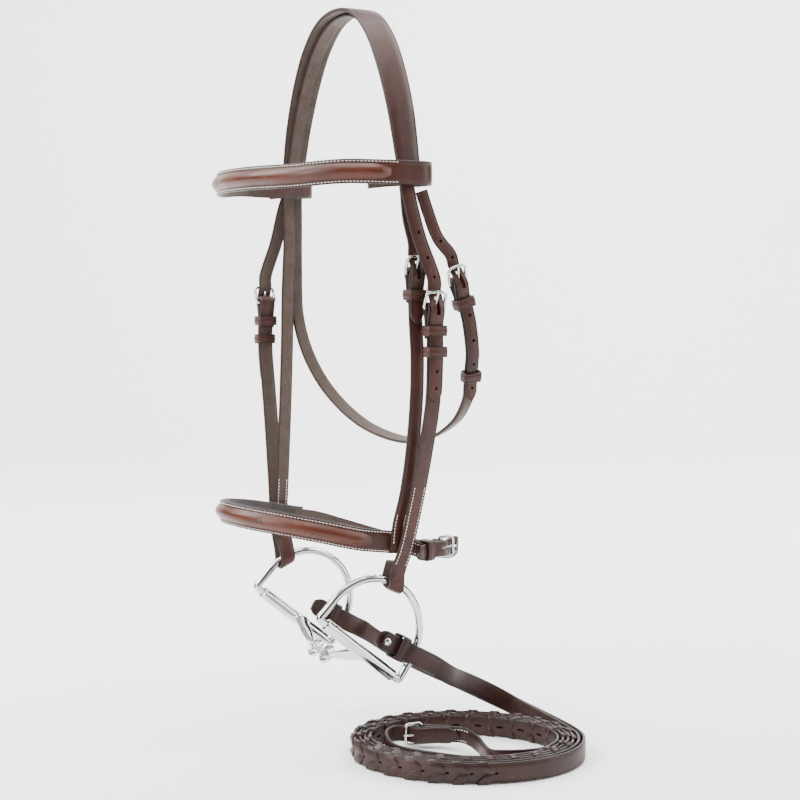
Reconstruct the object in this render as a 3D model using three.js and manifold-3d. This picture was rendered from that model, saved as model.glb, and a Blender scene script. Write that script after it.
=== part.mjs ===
// Snaffle bridle hanging from its poll, front towards -Y, the horse's left (near side) at +X, +Z up.
// Units are millimetres. The origin is the underside of the headpiece at the poll.
import * as THREE from 'three';
import { mergeVertices } from 'three/addons/utils/BufferGeometryUtils.js';
import Module from 'manifold-3d';

const wasm = await Module();
wasm.setup();

// ---- driving dimensions -------------------------------------------------
const LEATHER = 2.6;            // thickness of the cheek, throat and noseband straps
const CROWN_T = 3.2;            // the headpiece is cut from thicker leather
const REIN_T = 3.0;
const GAP = 0.4;                // air between pieces that touch
const CHEEK_W = 13;             // half-inch cheekpieces
const BILLET_W = 11.5;
const CROWN_W = 25;
const SLIP_W = 11.5;            // noseband sliphead and hangers
const BAND_W = 18;              // browband and noseband
const ROLL_W = 9;
const THROAT_W = 11;
const REIN_W = 16;              // five-eighths reins
const CHIN_W = 12;
const MOUTH = 128;              // distance between the two D-rings
const RING_X = MOUTH / 2;
const RING_R = 44;              // centreline radius of the D's round side
const WIRE_R = 3.2;
const BAR_R = 3.0;
const SLEEVE_R = 5;
const SLEEVE_BORE_R = 3.5;
const FRAME_T = 2.4;            // thickness of the buckle frames
const TONGUE_R = 1.1;
const FLOOR_Z = -587;           // the coiled reins lie here
const HOLE_R = 1.7;

const Y_AXIS = new THREE.Vector3(0, 1, 0);
const Z_AXIS = new THREE.Vector3(0, 0, 1);

// The D-ring in its own plane, as (y, z): a straight bar and a half circle joined by short sides.
const BAR_TOP = new THREE.Vector2(-57, -472);
const BAR_FOOT = new THREE.Vector2(13, -530);
const BAR_DIR = BAR_FOOT.clone().sub(BAR_TOP).normalize();
const RING_OUT = new THREE.Vector2(-BAR_DIR.y, BAR_DIR.x);
const SIDE = 16;                // length of the short sides
const BAR_MID = BAR_TOP.clone().add(BAR_FOOT).multiplyScalar(0.5);
const RING_C = BAR_MID.clone().addScaledVector(RING_OUT, SIDE);
const OUT_ANGLE = Math.atan2(RING_OUT.y, RING_OUT.x);

const bridle = new THREE.Group();

// ---- helpers ------------------------------------------------------------
const v3 = (p) => new THREE.Vector3(p[0], p[1], p[2]);

const FINISHES = {
  grain: { color: 0x5a322a, roughness: 0.45, metalness: 0 },
  flesh: { color: 0x4a3f38, roughness: 0.8, metalness: 0 },
  padded: { color: 0x6b3a2c, roughness: 0.4, metalness: 0 },
  rein: { color: 0x3c2622, roughness: 0.5, metalness: 0 },
  steel: { color: 0xc9cbcc, roughness: 0.15, metalness: 1 },
  link: { color: 0x8d9092, roughness: 0.4, metalness: 1 },
};

function addPiece(name, geometry, finish) {
  const mesh = new THREE.Mesh(geometry, new THREE.MeshStandardMaterial(FINISHES[finish]));
  mesh.name = name;
  bridle.add(mesh);
  return mesh;
}

function toSolid(geometry) {
  const bare = geometry.clone();
  bare.deleteAttribute('normal');
  bare.deleteAttribute('uv');
  const merged = mergeVertices(bare, 1e-4);
  const vertProperties = new Float32Array(merged.attributes.position.array);
  const triVerts = new Uint32Array(merged.index.array);
  return new wasm.Manifold(new wasm.Mesh({ numProp: 3, vertProperties, triVerts }));
}

function toGeometry(solid) {
  const mesh = solid.getMesh();
  const geometry = new THREE.BufferGeometry();
  geometry.setAttribute('position', new THREE.BufferAttribute(mesh.vertProperties, 3));
  geometry.setIndex(new THREE.BufferAttribute(mesh.triVerts, 1));
  return geometry;
}

const join = (geometries) => toGeometry(geometries.map(toSolid).reduce((a, b) => a.add(b)));

function cut(geometry, cutters) {
  return toGeometry(cutters.reduce((solid, cutter) => solid.subtract(toSolid(cutter)), toSolid(geometry)));
}

// A smooth route with a width direction at every point, so that a strap swept
// along it keeps its face turned the right way. `taper` scales the width by the
// length run so far and the whole length.
class StrapCurve extends THREE.CatmullRomCurve3 {
  constructor(points, widthDirs, taper) {
    super(points.map(v3));
    this.widthDirs = Array.isArray(widthDirs) ? widthDirs : points.map(() => widthDirs);
    this.taper = taper;
  }

  // Steps are even between route points, so that a tight fold gets its own steps.
  getSpacedPoints(divisions) {
    return this.getPoints(divisions);
  }

  widthAt(t, tangent) {
    const place = t * (this.widthDirs.length - 1);
    const i = Math.min(Math.floor(place), this.widthDirs.length - 2);
    const width = this.widthDirs[i].clone().lerp(this.widthDirs[i + 1], place - i);
    return width.addScaledVector(tangent, -width.dot(tangent)).normalize();
  }

  computeFrenetFrames(segments) {
    const frames = { tangents: [], normals: [], binormals: [] };
    const lengths = this.getLengths(segments);
    for (let i = 0; i <= segments; i += 1) {
      const t = i / segments;
      const tangent = this.getTangent(t);
      const width = this.widthAt(t, tangent);
      const face = new THREE.Vector3().crossVectors(tangent, width).normalize();
      frames.tangents.push(tangent);
      frames.normals.push(width.multiplyScalar(this.taper(lengths[i], lengths[segments])));
      frames.binormals.push(face);
    }
    return frames;
  }
}

function flatSection(width, thickness) {
  const [w, t] = [width / 2, thickness / 2];
  return new THREE.Shape([[-w, -t], [w, -t], [w, t], [-w, t]].map(([x, y]) => new THREE.Vector2(x, y)));
}

function roundSection(radius, sides = 8) {
  const corner = (_, i) => new THREE.Vector2(
    radius * Math.cos((i * 2 * Math.PI) / sides), radius * Math.sin((i * 2 * Math.PI) / sides));
  return new THREE.Shape(Array.from({ length: sides }, corner));
}

const noTaper = () => 1;
const STEPS_PER_SPAN = 2;
const POINT_LENGTH = 9;         // how far back a billet's pointed tip starts

const pointedEnd = (run, length) => Math.max(0.12, Math.min(1, (length - run) / POINT_LENGTH));

function strap(points, widthDirs, width, thickness, taper = noTaper) {
  const extrudePath = new StrapCurve(points, widthDirs, taper);
  const steps = (points.length - 1) * STEPS_PER_SPAN;
  return new THREE.ExtrudeGeometry(flatSection(width, thickness), { steps, extrudePath, bevelEnabled: false });
}

// A strap that ends in a point, like every billet.
function pointedStrap(points, widthDirs, width, thickness) {
  const tip = v3(points[points.length - 1]);
  const before = v3(points[points.length - 2]);
  const shoulder = tip.clone().lerp(before, POINT_LENGTH / tip.distanceTo(before)).toArray();
  const routed = [...points.slice(0, -1), shoulder, points[points.length - 1]];
  const dirs = Array.isArray(widthDirs) ? [...widthDirs, widthDirs[widthDirs.length - 1]] : widthDirs;
  return strap(routed, dirs, width, thickness, pointedEnd);
}

function rod(points, radius, steps, sides = 8) {
  const extrudePath = new THREE.CatmullRomCurve3(points.map(v3));
  return new THREE.ExtrudeGeometry(roundSection(radius, sides), { steps, extrudePath, bevelEnabled: false });
}

// A local frame on a strap: `up` runs along it, `out` is its face, `side` its width.
function placeAt(origin, up, out) {
  const u = v3(up).normalize();
  const side = new THREE.Vector3().crossVectors(u, v3(out)).normalize();
  const n = new THREE.Vector3().crossVectors(side, u).normalize();
  const matrix = new THREE.Matrix4().makeBasis(side, u, n).setPosition(v3(origin));
  const at = (along, off, across = 0) => new THREE.Vector3(across, along, off).applyMatrix4(matrix).toArray();
  return { matrix, side, at };
}

// ---- buckles and keepers -------------------------------------------------
const FRAME_L = 14;             // from the buckle's bar to its far side
const FRAME_TILT = THREE.MathUtils.degToRad(22);
const FOLD_R = 4.2;             // a strap end folds round the buckle's bar at this radius
const FRAME_SIDE = 2.4;         // width of the frame's sides
const SLOT_W = 3.4;

function roundedBox(halfX, y0, y1, radius) {
  const shape = new THREE.Shape();
  shape.moveTo(-halfX + radius, y0);
  shape.lineTo(halfX - radius, y0);
  shape.quadraticCurveTo(halfX, y0, halfX, y0 + radius);
  shape.lineTo(halfX, y1 - radius);
  shape.quadraticCurveTo(halfX, y1, halfX - radius, y1);
  shape.lineTo(-halfX + radius, y1);
  shape.quadraticCurveTo(-halfX, y1, -halfX, y1 - radius);
  shape.lineTo(-halfX, y0 + radius);
  shape.quadraticCurveTo(-halfX, y0, -halfX + radius, y0);
  return shape;
}

function buckleFrame(place, strapWidth) {
  const inner = strapWidth / 2 + 0.8;
  const half = FRAME_SIDE / 2;
  const shape = roundedBox(inner + FRAME_SIDE, -half, FRAME_L + half, 3);
  shape.holes.push(roundedBox(inner, half, FRAME_L - half, 1));
  const geometry = new THREE.ExtrudeGeometry(shape, { depth: FRAME_T, bevelEnabled: false, curveSegments: 4 });
  geometry.translate(0, 0, -FRAME_T / 2);
  geometry.rotateX(FRAME_TILT);
  return geometry.applyMatrix4(place.matrix);
}

function buckleTongue(place) {
  const lift = FRAME_T / 2 + GAP + TONGUE_R;
  const geometry = new THREE.CylinderGeometry(TONGUE_R, TONGUE_R, FRAME_L + 3.5, 8);
  geometry.translate(0, FRAME_L / 2 + 0.75, lift);
  geometry.rotateX(FRAME_TILT);
  return geometry.applyMatrix4(place.matrix);
}

// Cuts the slot that lets the tongue through a strap at the buckle.
function tongueSlot(place, from, to, low, high) {
  const geometry = new THREE.BoxGeometry(SLOT_W, to - from, high - low);
  geometry.translate(0, (from + to) / 2, (low + high) / 2);
  return geometry.applyMatrix4(place.matrix);
}

function punchedHole(place, along, off = 4.8) {
  const geometry = new THREE.CylinderGeometry(HOLE_R, HOLE_R, LEATHER * 2, 6);
  geometry.rotateX(Math.PI / 2);
  geometry.translate(0, along, off);
  return geometry.applyMatrix4(place.matrix);
}

const KEEPER_WALL = 1.5;
const KEEPER_L = 8;

// A closed leather loop round the straps, `low` to `high` being the stack that it holds.
function keeper(place, along, strapWidth, low, high) {
  const inner = strapWidth / 2 + 0.7;
  const shape = roundedBox(inner + KEEPER_WALL, low - KEEPER_WALL, high + KEEPER_WALL, 2);
  shape.holes.push(roundedBox(inner, low, high, 0.6));
  const geometry = new THREE.ExtrudeGeometry(shape, { depth: KEEPER_L, bevelEnabled: false, curveSegments: 3 });
  geometry.rotateX(Math.PI / 2);
  geometry.translate(0, along + KEEPER_L / 2, 0);
  return geometry.applyMatrix4(place.matrix);
}

// The end of a strap folded round a buckle's bar, as route points in the buckle's frame.
function foldedEnd(place) {
  const round = [-90, -45, 0, 45, 90].map((deg) => {
    const a = THREE.MathUtils.degToRad(deg);
    return place.at(FOLD_R * Math.cos(a), FOLD_R * Math.sin(a));
  });
  return [place.at(-22, -1.7), place.at(-11, -1.7), place.at(-5, -2.8), ...round, place.at(-5, 2.8),
    place.at(-11, 1.7), place.at(-20, 1.7)];
}

// The stretch of a billet that passes through a buckle and on under its keepers.
function throughBuckle(place) {
  return [place.at(22, 1.4), place.at(14, 1.4), place.at(7, 4.3), place.at(0, 7.5), place.at(-6, 6.3),
    place.at(-11, 4.9), place.at(-20, 4.9)];
}

const STACK_LOW = -3.7;         // underside and top of a folded strap with a billet on it
const STACK_HIGH = 6.9;
const KEEPER_AT = -16;          // the fixed keeper and the sliding one, along the strap from the buckle
const RUNNER_AT = -32;

// ---- headpiece, browband and the noseband's sliphead ----------------------
// Half of the arch over the poll, as [x, z] from the top down.
const ARCH = [[0, 4.6], [30, -1], [54, -19], [72, -45], [88, -81], [98, -118], [103, -140]];
const SLIP_DROP = (CROWN_T + LEATHER) / 2 + GAP;

function archRoute(inset, drop, nearY, offY) {
  const leg = (side, y) => ARCH.slice(1).map(([x, z], i) => [side * (x - inset), (y * (i + 1)) / 6, z - drop]);
  return [...leg(1, nearY).reverse(), [0, 0, ARCH[0][1] - drop], ...leg(-1, offY)];
}

const nearCheek = placeAt([109, 19, -232], [0, 0, 1], [1, 0, 0]);
const offCheek = placeAt([-109, -27, -230], [0, 0, 1], [-1, 0, 0]);

// Strap routes below the buckles, listed downwards, at the outer layer of each cheekpiece.
const NEAR_CHEEK_ROUTE = [[110.7, 19, -275], [107.5, 19.5, -303], [98.5, 18.5, -340], [85, 17, -385],
  [75.5, 13, -422], [70.5, 9, -440]];
const OFF_CHEEK_ROUTE = [[-110.7, -27, -273], [-107.5, -26, -303], [-98.5, -27, -340], [-85, -30, -385],
  [-75.5, -32, -422], [-70.5, -31, -440]];

function outward(route, side, offset) {
  return route.map(([x, y, z]) => [x + side * offset, y, z]);
}

// The cheekpiece's foot turns round the D-ring's wire and is sewn to its own inside.
function cheekFoot(side, y) {
  const z = RING_C.y + Math.sqrt(RING_R ** 2 - (y - RING_C.x) ** 2);
  const clear = WIRE_R + 2 + LEATHER / 2;
  const turn = [0, -45, -90, -135, -180].map((deg) => {
    const a = THREE.MathUtils.degToRad(deg);
    return [side * (RING_X + clear * Math.cos(a)), y, z + clear * Math.sin(a)];
  });
  return [...turn, [side * (RING_X - 3.6), y, z + 8], [side * (RING_X + 1.5), y, z + 17]];
}

function ringTangent(y) {
  const rise = Math.sqrt(RING_R ** 2 - (y - RING_C.x) ** 2);
  return new THREE.Vector3(0, rise, -(y - RING_C.x)).normalize();
}

function crownBillet(place, side, crownEnd, cheekRoute, tipZ) {
  const below = outward(cheekRoute, side, LEATHER + GAP + 0.2).filter(([, , z]) => z > tipZ);
  const points = [...crownEnd, ...throughBuckle(place), ...below];
  const slot = tongueSlot(place, -4, 9.5, 0, 10);
  const holes = [-42, -54, -70, 26, 42].map((along) => punchedHole(place, along, along > 0 ? 3 : 4.8));
  return cut(pointedStrap(points, Y_AXIS, BILLET_W, LEATHER), [slot, ...holes]);
}

function headpiece() {
  const narrowing = (run, length) => 1 - 0.3 * Math.abs((2 * run) / length - 1) ** 3;
  const crown = strap(archRoute(0, 0, 3, -6), Y_AXIS, CROWN_W, CROWN_T, narrowing);
  const near = crownBillet(nearCheek, 1, [[101.6, -0.5, -133], [104, 1.5, -150], [107, 8, -178]],
    NEAR_CHEEK_ROUTE, -318);
  const off = crownBillet(offCheek, -1, [[-101.6, -7, -133], [-104, -12, -150], [-107, -18, -178]],
    OFF_CHEEK_ROUTE, -305);
  return join([crown, near, off]);
}

function cheekpiece(place, side, route, footY) {
  const points = [...foldedEnd(place), ...route, ...cheekFoot(side, footY)];
  const level = ringTangent(footY);
  const dirs = points.map((_, i) => (i < points.length - 8 ? Y_AXIS : level));
  return cut(strap(points, dirs, CHEEK_W, LEATHER), [tongueSlot(place, -5, 7, 0, 9)]);
}

function addBuckle(prefix, place, width) {
  addPiece(`${prefix}_buckle_frame`, buckleFrame(place, width), 'steel');
  addPiece(`${prefix}_buckle_tongue`, buckleTongue(place), 'steel');
}

function addCheek(prefix, place, side, route, footY) {
  addPiece(`${prefix}_cheekpiece`, cheekpiece(place, side, route, footY), 'grain');
  addBuckle(`${prefix}_cheek`, place, CHEEK_W);
  addPiece(`${prefix}_cheek_keeper`, keeper(place, KEEPER_AT, CHEEK_W, STACK_LOW, STACK_HIGH), 'grain');
  addPiece(`${prefix}_cheek_runner`, keeper(place, RUNNER_AT, CHEEK_W, -0.4, STACK_HIGH + 0.4), 'grain');
}

// Half of the sliphead is a billet to the near hanger's buckle; the off half runs to the noseband.
const hanger = placeAt([96.5, 9, -205], [0, 0, 1], [1, 0, 0]);
const NEAR_HANGER_ROUTE = [[98.2, 9.5, -240], [96.5, 12, -270], [93, 13, -305], [86, 13, -345], [78, 12, -378],
  [72.3, 9, -402], [71.9, 7, -423]];
const OFF_HANGER_ROUTE = [[-98, -9, -175], [-98, -11, -220], [-96, -13, -268], [-89, -18, -320],
  [-80, -24, -362], [-74.6, -28, -394], [-74.9, -29, -412]];

function noseband_sliphead() {
  const arch = archRoute(SLIP_DROP, SLIP_DROP, 1, -9);
  const points = [...OFF_HANGER_ROUTE.slice().reverse(), ...arch.slice().reverse(), [98.2, 4, -163],
    ...throughBuckle(hanger), hanger.at(-38, 5)];
  return cut(pointedStrap(points, Y_AXIS, SLIP_W, LEATHER), [tongueSlot(hanger, -4, 9.5, 0, 10)]);
}

function nearHanger() {
  const points = [...foldedEnd(hanger), ...NEAR_HANGER_ROUTE];
  return cut(strap(points, Y_AXIS, SLIP_W, LEATHER), [tongueSlot(hanger, -5, 7, 0, 9)]);
}

// ---- browband and noseband: U-shaped bands in plan, as [x, y] ---------------
const BROW_PLAN = [[88, -26], [90, -2], [93, 15], [100.5, 20], [108, 15], [109.5, 0], [108, -22], [98, -52],
  [70, -80], [35, -95], [-5, -100], [-45, -94], [-78, -78], [-99, -54], [-108.5, -28], [-109.5, -8],
  [-108, 7], [-100.5, 12], [-93, 7], [-90, -10], [-88, -32]];
const NOSE_PLAN = [[70.8, 20, -421], [67.6, 8, -417], [66, -22, -412], [60, -50, -405],
  [44, -78, -399], [18, -98, -396], [-14, -104, -396], [-44, -93, -399], [-62, -68, -404], [-69.5, -40, -410],
  [-70.5, -12, -416]];
const BROW_Z = -130;

function browZ(x) {
  return BROW_Z - (Math.abs(x) < 90 ? 2.5 : 0);
}

// A route moved sideways in plan, to its left as it runs.
function besidePlan(route, offset) {
  return route.map(([x, y, z], i) => {
    const before = route[Math.max(i - 1, 0)];
    const after = route[Math.min(i + 1, route.length - 1)];
    const run = new THREE.Vector2(after[0] - before[0], after[1] - before[1]).normalize();
    return [x - run.y * offset, y + run.x * offset, z];
  });
}

const BROW_ROUTE = BROW_PLAN.map(([x, y]) => [x, y, browZ(x)]);
const BROW_FRONT = BROW_ROUTE.slice(6, 15);
const NOSE_FRONT = NOSE_PLAN.slice(2, 10);
const BAND_T = 3;
const ROLL_T = 3;
const LINING_T = 3;
const ROLL_OFFSET = (BAND_T + ROLL_T) / 2 + GAP * 2;

const chin = placeAt([65, 48, -424.5], [-0.35, 0.937, 0], [0.937, 0.35, 0]);

function noseband() {
  const points = [...foldedEnd(chin), ...NOSE_PLAN];
  const widen = (run) => Math.max(CHIN_W / BAND_W, Math.min(1, CHIN_W / BAND_W + (run - 62) / 60));
  return cut(strap(points, Z_AXIS, BAND_W, LEATHER, widen), [tongueSlot(chin, -5, 7, 0, 9)]);
}

// The chin strap is sewn inside the noseband's off end, passes behind the jaw and buckles on the near side.
function chinStrap() {
  const points = [[-66.6, -20, -413], [-66.8, 0, -417], [-64, 24, -425], [-52, 48, -433], [-28, 66, -438],
    [2, 76, -440], [30, 78, -437], [46, 75.5, -431], ...throughBuckle(chin), chin.at(-31, 7.2)];
  return cut(pointedStrap(points, Z_AXIS, CHIN_W, LEATHER), [tongueSlot(chin, -4, 9.5, 0, 10)]);
}

// ---- throatlatch -----------------------------------------------------------
const throat = placeAt([104, 43, -212], [0, -0.3, 0.95], [1, 0, 0]);
const throatRunner = placeAt([97.5, 58.5, -284], [0.29, -0.1, 0.95], [1, 0, -0.3]);
const THROAT_ROUTE = [[105.3, 52.3, -243], throatRunner.at(19, 0), throatRunner.at(9, 0), throatRunner.at(-9, 0),
  throatRunner.at(-17, 0), [77, 60.5, -319], [58, 57, -332],
  [36, 54, -340], [10, 50, -343.5], [-20, 46, -342], [-48, 39, -335], [-70, 29, -321], [-86, 17, -300],
  [-96, 6, -272], [-101.5, 0, -240], [-104, 0, -200], [-103.5, 0, -160]];

function throatBillet() {
  const layer = LEATHER + GAP + 0.2;
  const points = [[103.6, 11.5, -143], [104.5, 16.5, -158], [105.2, 25, -178], ...throughBuckle(throat),
    [108.5, 52.3, -243], throatRunner.at(19, layer), throatRunner.at(9, layer), throatRunner.at(-8, layer),
    throatRunner.at(-20, layer + 1)];
  const holes = [10, -9].map((along) => punchedHole(throatRunner, along, layer));
  const slot = tongueSlot(throat, -4, 9.5, 0, 10);
  return cut(pointedStrap(points, throat.side, THROAT_W - 1, LEATHER), [slot, ...holes]);
}

function throatlatch() {
  const points = [...foldedEnd(throat), ...THROAT_ROUTE];
  return cut(strap(points, throat.side, THROAT_W, LEATHER), [tongueSlot(throat, -5, 7, 0, 9)]);
}

// ---- D-ring snaffle ----------------------------------------------------------
const ringPoint = (side, yz) => [side * RING_X, yz.x, yz.y];

function dRing(side) {
  const arc = Array.from({ length: 13 }, (_, i) => {
    const a = OUT_ANGLE + Math.PI * (0.5 - i / 12);
    return ringPoint(side, new THREE.Vector2(Math.cos(a), Math.sin(a)).multiplyScalar(RING_R).add(RING_C));
  });
  const hoop = rod([ringPoint(side, BAR_TOP), ...arc, ringPoint(side, BAR_FOOT)], WIRE_R, 30);
  const bar = rod([ringPoint(side, BAR_TOP), ringPoint(side, BAR_MID), ringPoint(side, BAR_FOOT)], BAR_R, 2, 10);
  const corners = [BAR_TOP, BAR_FOOT].map((yz) => {
    const ball = new THREE.SphereGeometry(WIRE_R + 0.8, 8, 6);
    return ball.translate(...ringPoint(side, yz));
  });
  return join([hoop, bar, ...corners]);
}

// The mouthpiece lies across the bars and sags: `down` is its direction of sag.
const SAG = 14;
const EYE_X = 11;
const EYE_R = 6.4;
const EYE_WIRE = 2.2;
const LINK_EYE_R = 5.4;
const ARM_C = BAR_MID.clone().addScaledVector(BAR_DIR, 7);
const SAG_DIR = RING_OUT.clone().negate();
const EYE_C = ARM_C.clone().addScaledVector(SAG_DIR, SAG);
const SLEEVE_L = BAR_TOP.distanceTo(BAR_FOOT) - 15;

function mouthArm(side) {
  const barDir = new THREE.Vector3(0, BAR_DIR.x, BAR_DIR.y);
  const turn = new THREE.Quaternion().setFromUnitVectors(Y_AXIS, barDir);
  const tube = [[SLEEVE_BORE_R, -0.5], [SLEEVE_R, -0.5], [SLEEVE_R, 0.5], [SLEEVE_BORE_R, 0.5],
    [SLEEVE_BORE_R, -0.5]].map(([r, h]) => new THREE.Vector2(r, h * SLEEVE_L));
  const sleeve = new THREE.LatheGeometry(tube, 14);
  sleeve.applyQuaternion(turn);
  sleeve.translate(...ringPoint(side, BAR_MID));
  const eyeRing = new THREE.TorusGeometry(EYE_R, EYE_WIRE, 8, 16);
  eyeRing.applyQuaternion(new THREE.Quaternion().setFromUnitVectors(Z_AXIS, barDir));
  eyeRing.translate(side * EYE_X, EYE_C.x, EYE_C.y);
  const from = new THREE.Vector3(side * (RING_X - SLEEVE_R + 0.6), ARM_C.x, ARM_C.y);
  const to = new THREE.Vector3(side * (EYE_X + EYE_R), EYE_C.x, EYE_C.y);
  to.lerp(from, 0.02);
  const profile = [[0, 0], [8, 0], [6.6, 0.25], [5.6, 0.6], [4.2, 0.88], [2.6, 1], [0, 1]];
  const length = from.distanceTo(to);
  const arm = new THREE.LatheGeometry(profile.map(([r, h]) => new THREE.Vector2(r, h * length)), 12);
  const along = to.clone().sub(from).normalize();
  const flat = new THREE.Vector3().crossVectors(along, barDir).normalize();
  const basis = new THREE.Matrix4().makeBasis(barDir, along, flat.clone().multiplyScalar(0.62));
  if (basis.determinant() < 0) {
    basis.makeBasis(barDir, along, flat.multiplyScalar(-0.62));
  }
  arm.applyMatrix4(basis.setPosition(from));
  return join([sleeve, arm, eyeRing]);
}

// The link's two eyes stand across the arms' eyes and are threaded through them.
function mouthLink() {
  const sag = new THREE.Vector3(0, SAG_DIR.x, SAG_DIR.y);
  const turn = new THREE.Quaternion().setFromUnitVectors(Z_AXIS, sag);
  const eyes = [1, -1].map((side) => {
    const eye = new THREE.TorusGeometry(LINK_EYE_R, EYE_WIRE - 0.3, 8, 14);
    eye.applyQuaternion(turn);
    return eye.translate(side * (EYE_X - LINK_EYE_R), EYE_C.x, EYE_C.y);
  });
  return join(eyes);
}

// ---- reins -----------------------------------------------------------------
const REIN_ANGLE = THREE.MathUtils.degToRad(-30);   // where the rein takes the D, from +Y about the arc's centre
const REIN_DIR = new THREE.Vector2(Math.cos(REIN_ANGLE), Math.sin(REIN_ANGLE));
const REIN_AT = RING_C.clone().addScaledVector(REIN_DIR, RING_R);
const TAB = 36;                 // the rein's end reaches this far inside the ring
const LAYER = WIRE_R + 0.9 + REIN_T / 2;
const nearRein = placeAt(ringPoint(1, REIN_AT), [0, -REIN_DIR.x, -REIN_DIR.y], [1, 0, 0]);
const offRein = placeAt(ringPoint(-1, REIN_AT), [0, -REIN_DIR.x, -REIN_DIR.y], [-1, 0, 0]);

// Hand-laid routes of the two reins from the D-rings down to the coil on the floor.
const REIN_Z = FLOOR_Z + 0.3 + REIN_W / 2;          // middle of a rein that stands on its edge
const COIL_C = new THREE.Vector2(100, 55);
const COIL_LONG = new THREE.Vector2(0.517, 0.856).normalize();
const COIL_SHORT = new THREE.Vector2(COIL_LONG.y, -COIL_LONG.x);
const COIL_A = 96;
const COIL_B = 70;
const COIL_WALL = 22;

// A point given along the coil's long and short axes.
function coilPoint(long, short, z = REIN_Z) {
  const at = COIL_C.clone().addScaledVector(COIL_LONG, long).addScaledVector(COIL_SHORT, short);
  return [at.x, at.y, z];
}

const NEAR_LEAD = [[60, 62, -533], [48, 86, -546], [46, 110, -559], [62, 131, -571], coilPoint(75, -48),
  coilPoint(88.8, -30.8)];
const OFF_LEAD = [[-40, 58, -532], [-14, 72, -541], [10, 94, -552], [32, 120, -566], [60, 141, -576.5],
  coilPoint(77, -53), coilPoint(91.8, -33.3)];

function reinLead(place, lead) {
  const points = [place.at(TAB, -1.9), place.at(20, -2.2), place.at(14, -2.8),
    place.at(5, -LAYER), place.at(-6, -LAYER),
    place.at(-22, -2.2), ...lead];
  return strap(points, Z_AXIS, REIN_W, REIN_T);
}

function reinBillet(place) {
  const points = [place.at(TAB - 4, 1.7), place.at(20, 2.1), place.at(14, 2.8),
    place.at(5, LAYER), place.at(-6, LAYER),
    place.at(-16, 3.4), place.at(-26, 1.9)];
  return strap(points, place.side, REIN_W - 1, REIN_T);
}

function hookStud(place) {
  const profile = [[0, 0], [1.5, 0], [1.5, 2.2], [3, 3], [2.6, 4.2], [0, 4.8]];
  const stud = new THREE.LatheGeometry(profile.map(([r, h]) => new THREE.Vector2(r, h)), 12);
  stud.rotateX(Math.PI / 2);
  stud.translate(0, TAB - 6, 3.9);
  return stud.applyMatrix4(place.matrix);
}

function reinCoil() {
  const ring = (a, b) => {
    const path = new THREE.Path();
    path.absellipse(COIL_C.x, COIL_C.y, a, b, 0, Math.PI * 2, false, COIL_LONG.angle());
    return path.getPoints(16).slice(0, -1);
  };
  const shape = new THREE.Shape(ring(COIL_A, COIL_B));
  shape.holes.push(new THREE.Path(ring(COIL_A - COIL_WALL, COIL_B - COIL_WALL)));
  const geometry = new THREE.ExtrudeGeometry(shape, { depth: REIN_W, bevelEnabled: false, steps: 1 });
  return geometry.translate(0, 0, FLOOR_Z + 0.3);
}

// The two reins' inner ends leave the coil and buckle together in its middle.
const REIN_END_W = REIN_W - 3;
const BUCKLE_Z = FLOOR_Z + 10.8;
const reinBuckle = placeAt(coilPoint(-36, -18, BUCKLE_Z), [...COIL_LONG.toArray(), 0].map((x) => -x),
  [...COIL_SHORT.toArray(), 0]);

function reinEndNear() {
  const out = [coilPoint(-2, -15, BUCKLE_Z), coilPoint(9, -5), coilPoint(13, 12), coilPoint(17, 28),
    coilPoint(28, 39.5)];
  const points = [...foldedEnd(reinBuckle), ...out];
  return cut(strap(points, Z_AXIS, REIN_END_W, LEATHER), [tongueSlot(reinBuckle, -5, 7, 0, 9)]);
}

function reinEndOff() {
  const inward = [coilPoint(-22, 41), coilPoint(-45, 32), coilPoint(-59, 15), coilPoint(-64, -3, BUCKLE_Z)];
  const points = [...inward, ...throughBuckle(reinBuckle), reinBuckle.at(-30, 6)];
  return cut(pointedStrap(points, Z_AXIS, REIN_END_W, LEATHER), [tongueSlot(reinBuckle, -4, 9.5, 0, 10)]);
}

// ---- the assembly -------------------------------------------------------------
addPiece('headpiece', headpiece(), 'grain');
addPiece('noseband_sliphead', noseband_sliphead(), 'flesh');
addPiece('browband', strap(BROW_ROUTE, Z_AXIS, BAND_W, BAND_T), 'grain');
addPiece('browband_roll', strap(besidePlan(BROW_FRONT, ROLL_OFFSET), Z_AXIS, ROLL_W, ROLL_T), 'padded');
addCheek('near', nearCheek, 1, NEAR_CHEEK_ROUTE, 8);
addCheek('off', offCheek, -1, OFF_CHEEK_ROUTE, -30);
addPiece('near_noseband_hanger', nearHanger(), 'grain');
addBuckle('hanger', hanger, SLIP_W);
addPiece('hanger_keeper', keeper(hanger, KEEPER_AT, SLIP_W, STACK_LOW, STACK_HIGH), 'grain');
addPiece('noseband', noseband(), 'grain');
addPiece('noseband_roll', strap(besidePlan(NOSE_FRONT, ROLL_OFFSET), Z_AXIS, ROLL_W, ROLL_T), 'padded');
addPiece('noseband_lining', strap(besidePlan(NOSE_FRONT, -ROLL_OFFSET), Z_AXIS, BAND_W + 1, LINING_T), 'flesh');
addPiece('chin_strap', chinStrap(), 'grain');
addBuckle('chin', chin, CHIN_W);
addPiece('chin_keeper', keeper(chin, KEEPER_AT, CHIN_W, STACK_LOW, STACK_HIGH), 'grain');
addPiece('throat_billet', throatBillet(), 'grain');
addPiece('throatlatch', throatlatch(), 'grain');
addBuckle('throat', throat, THROAT_W);
addPiece('throat_keeper', keeper(throat, KEEPER_AT, THROAT_W, STACK_LOW, STACK_HIGH), 'grain');
addPiece('throat_runner', keeper(throatRunner, 0, THROAT_W, -2.1, 5.4), 'grain');
addPiece('near_d_ring', dRing(1), 'steel');
addPiece('off_d_ring', dRing(-1), 'steel');
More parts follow.
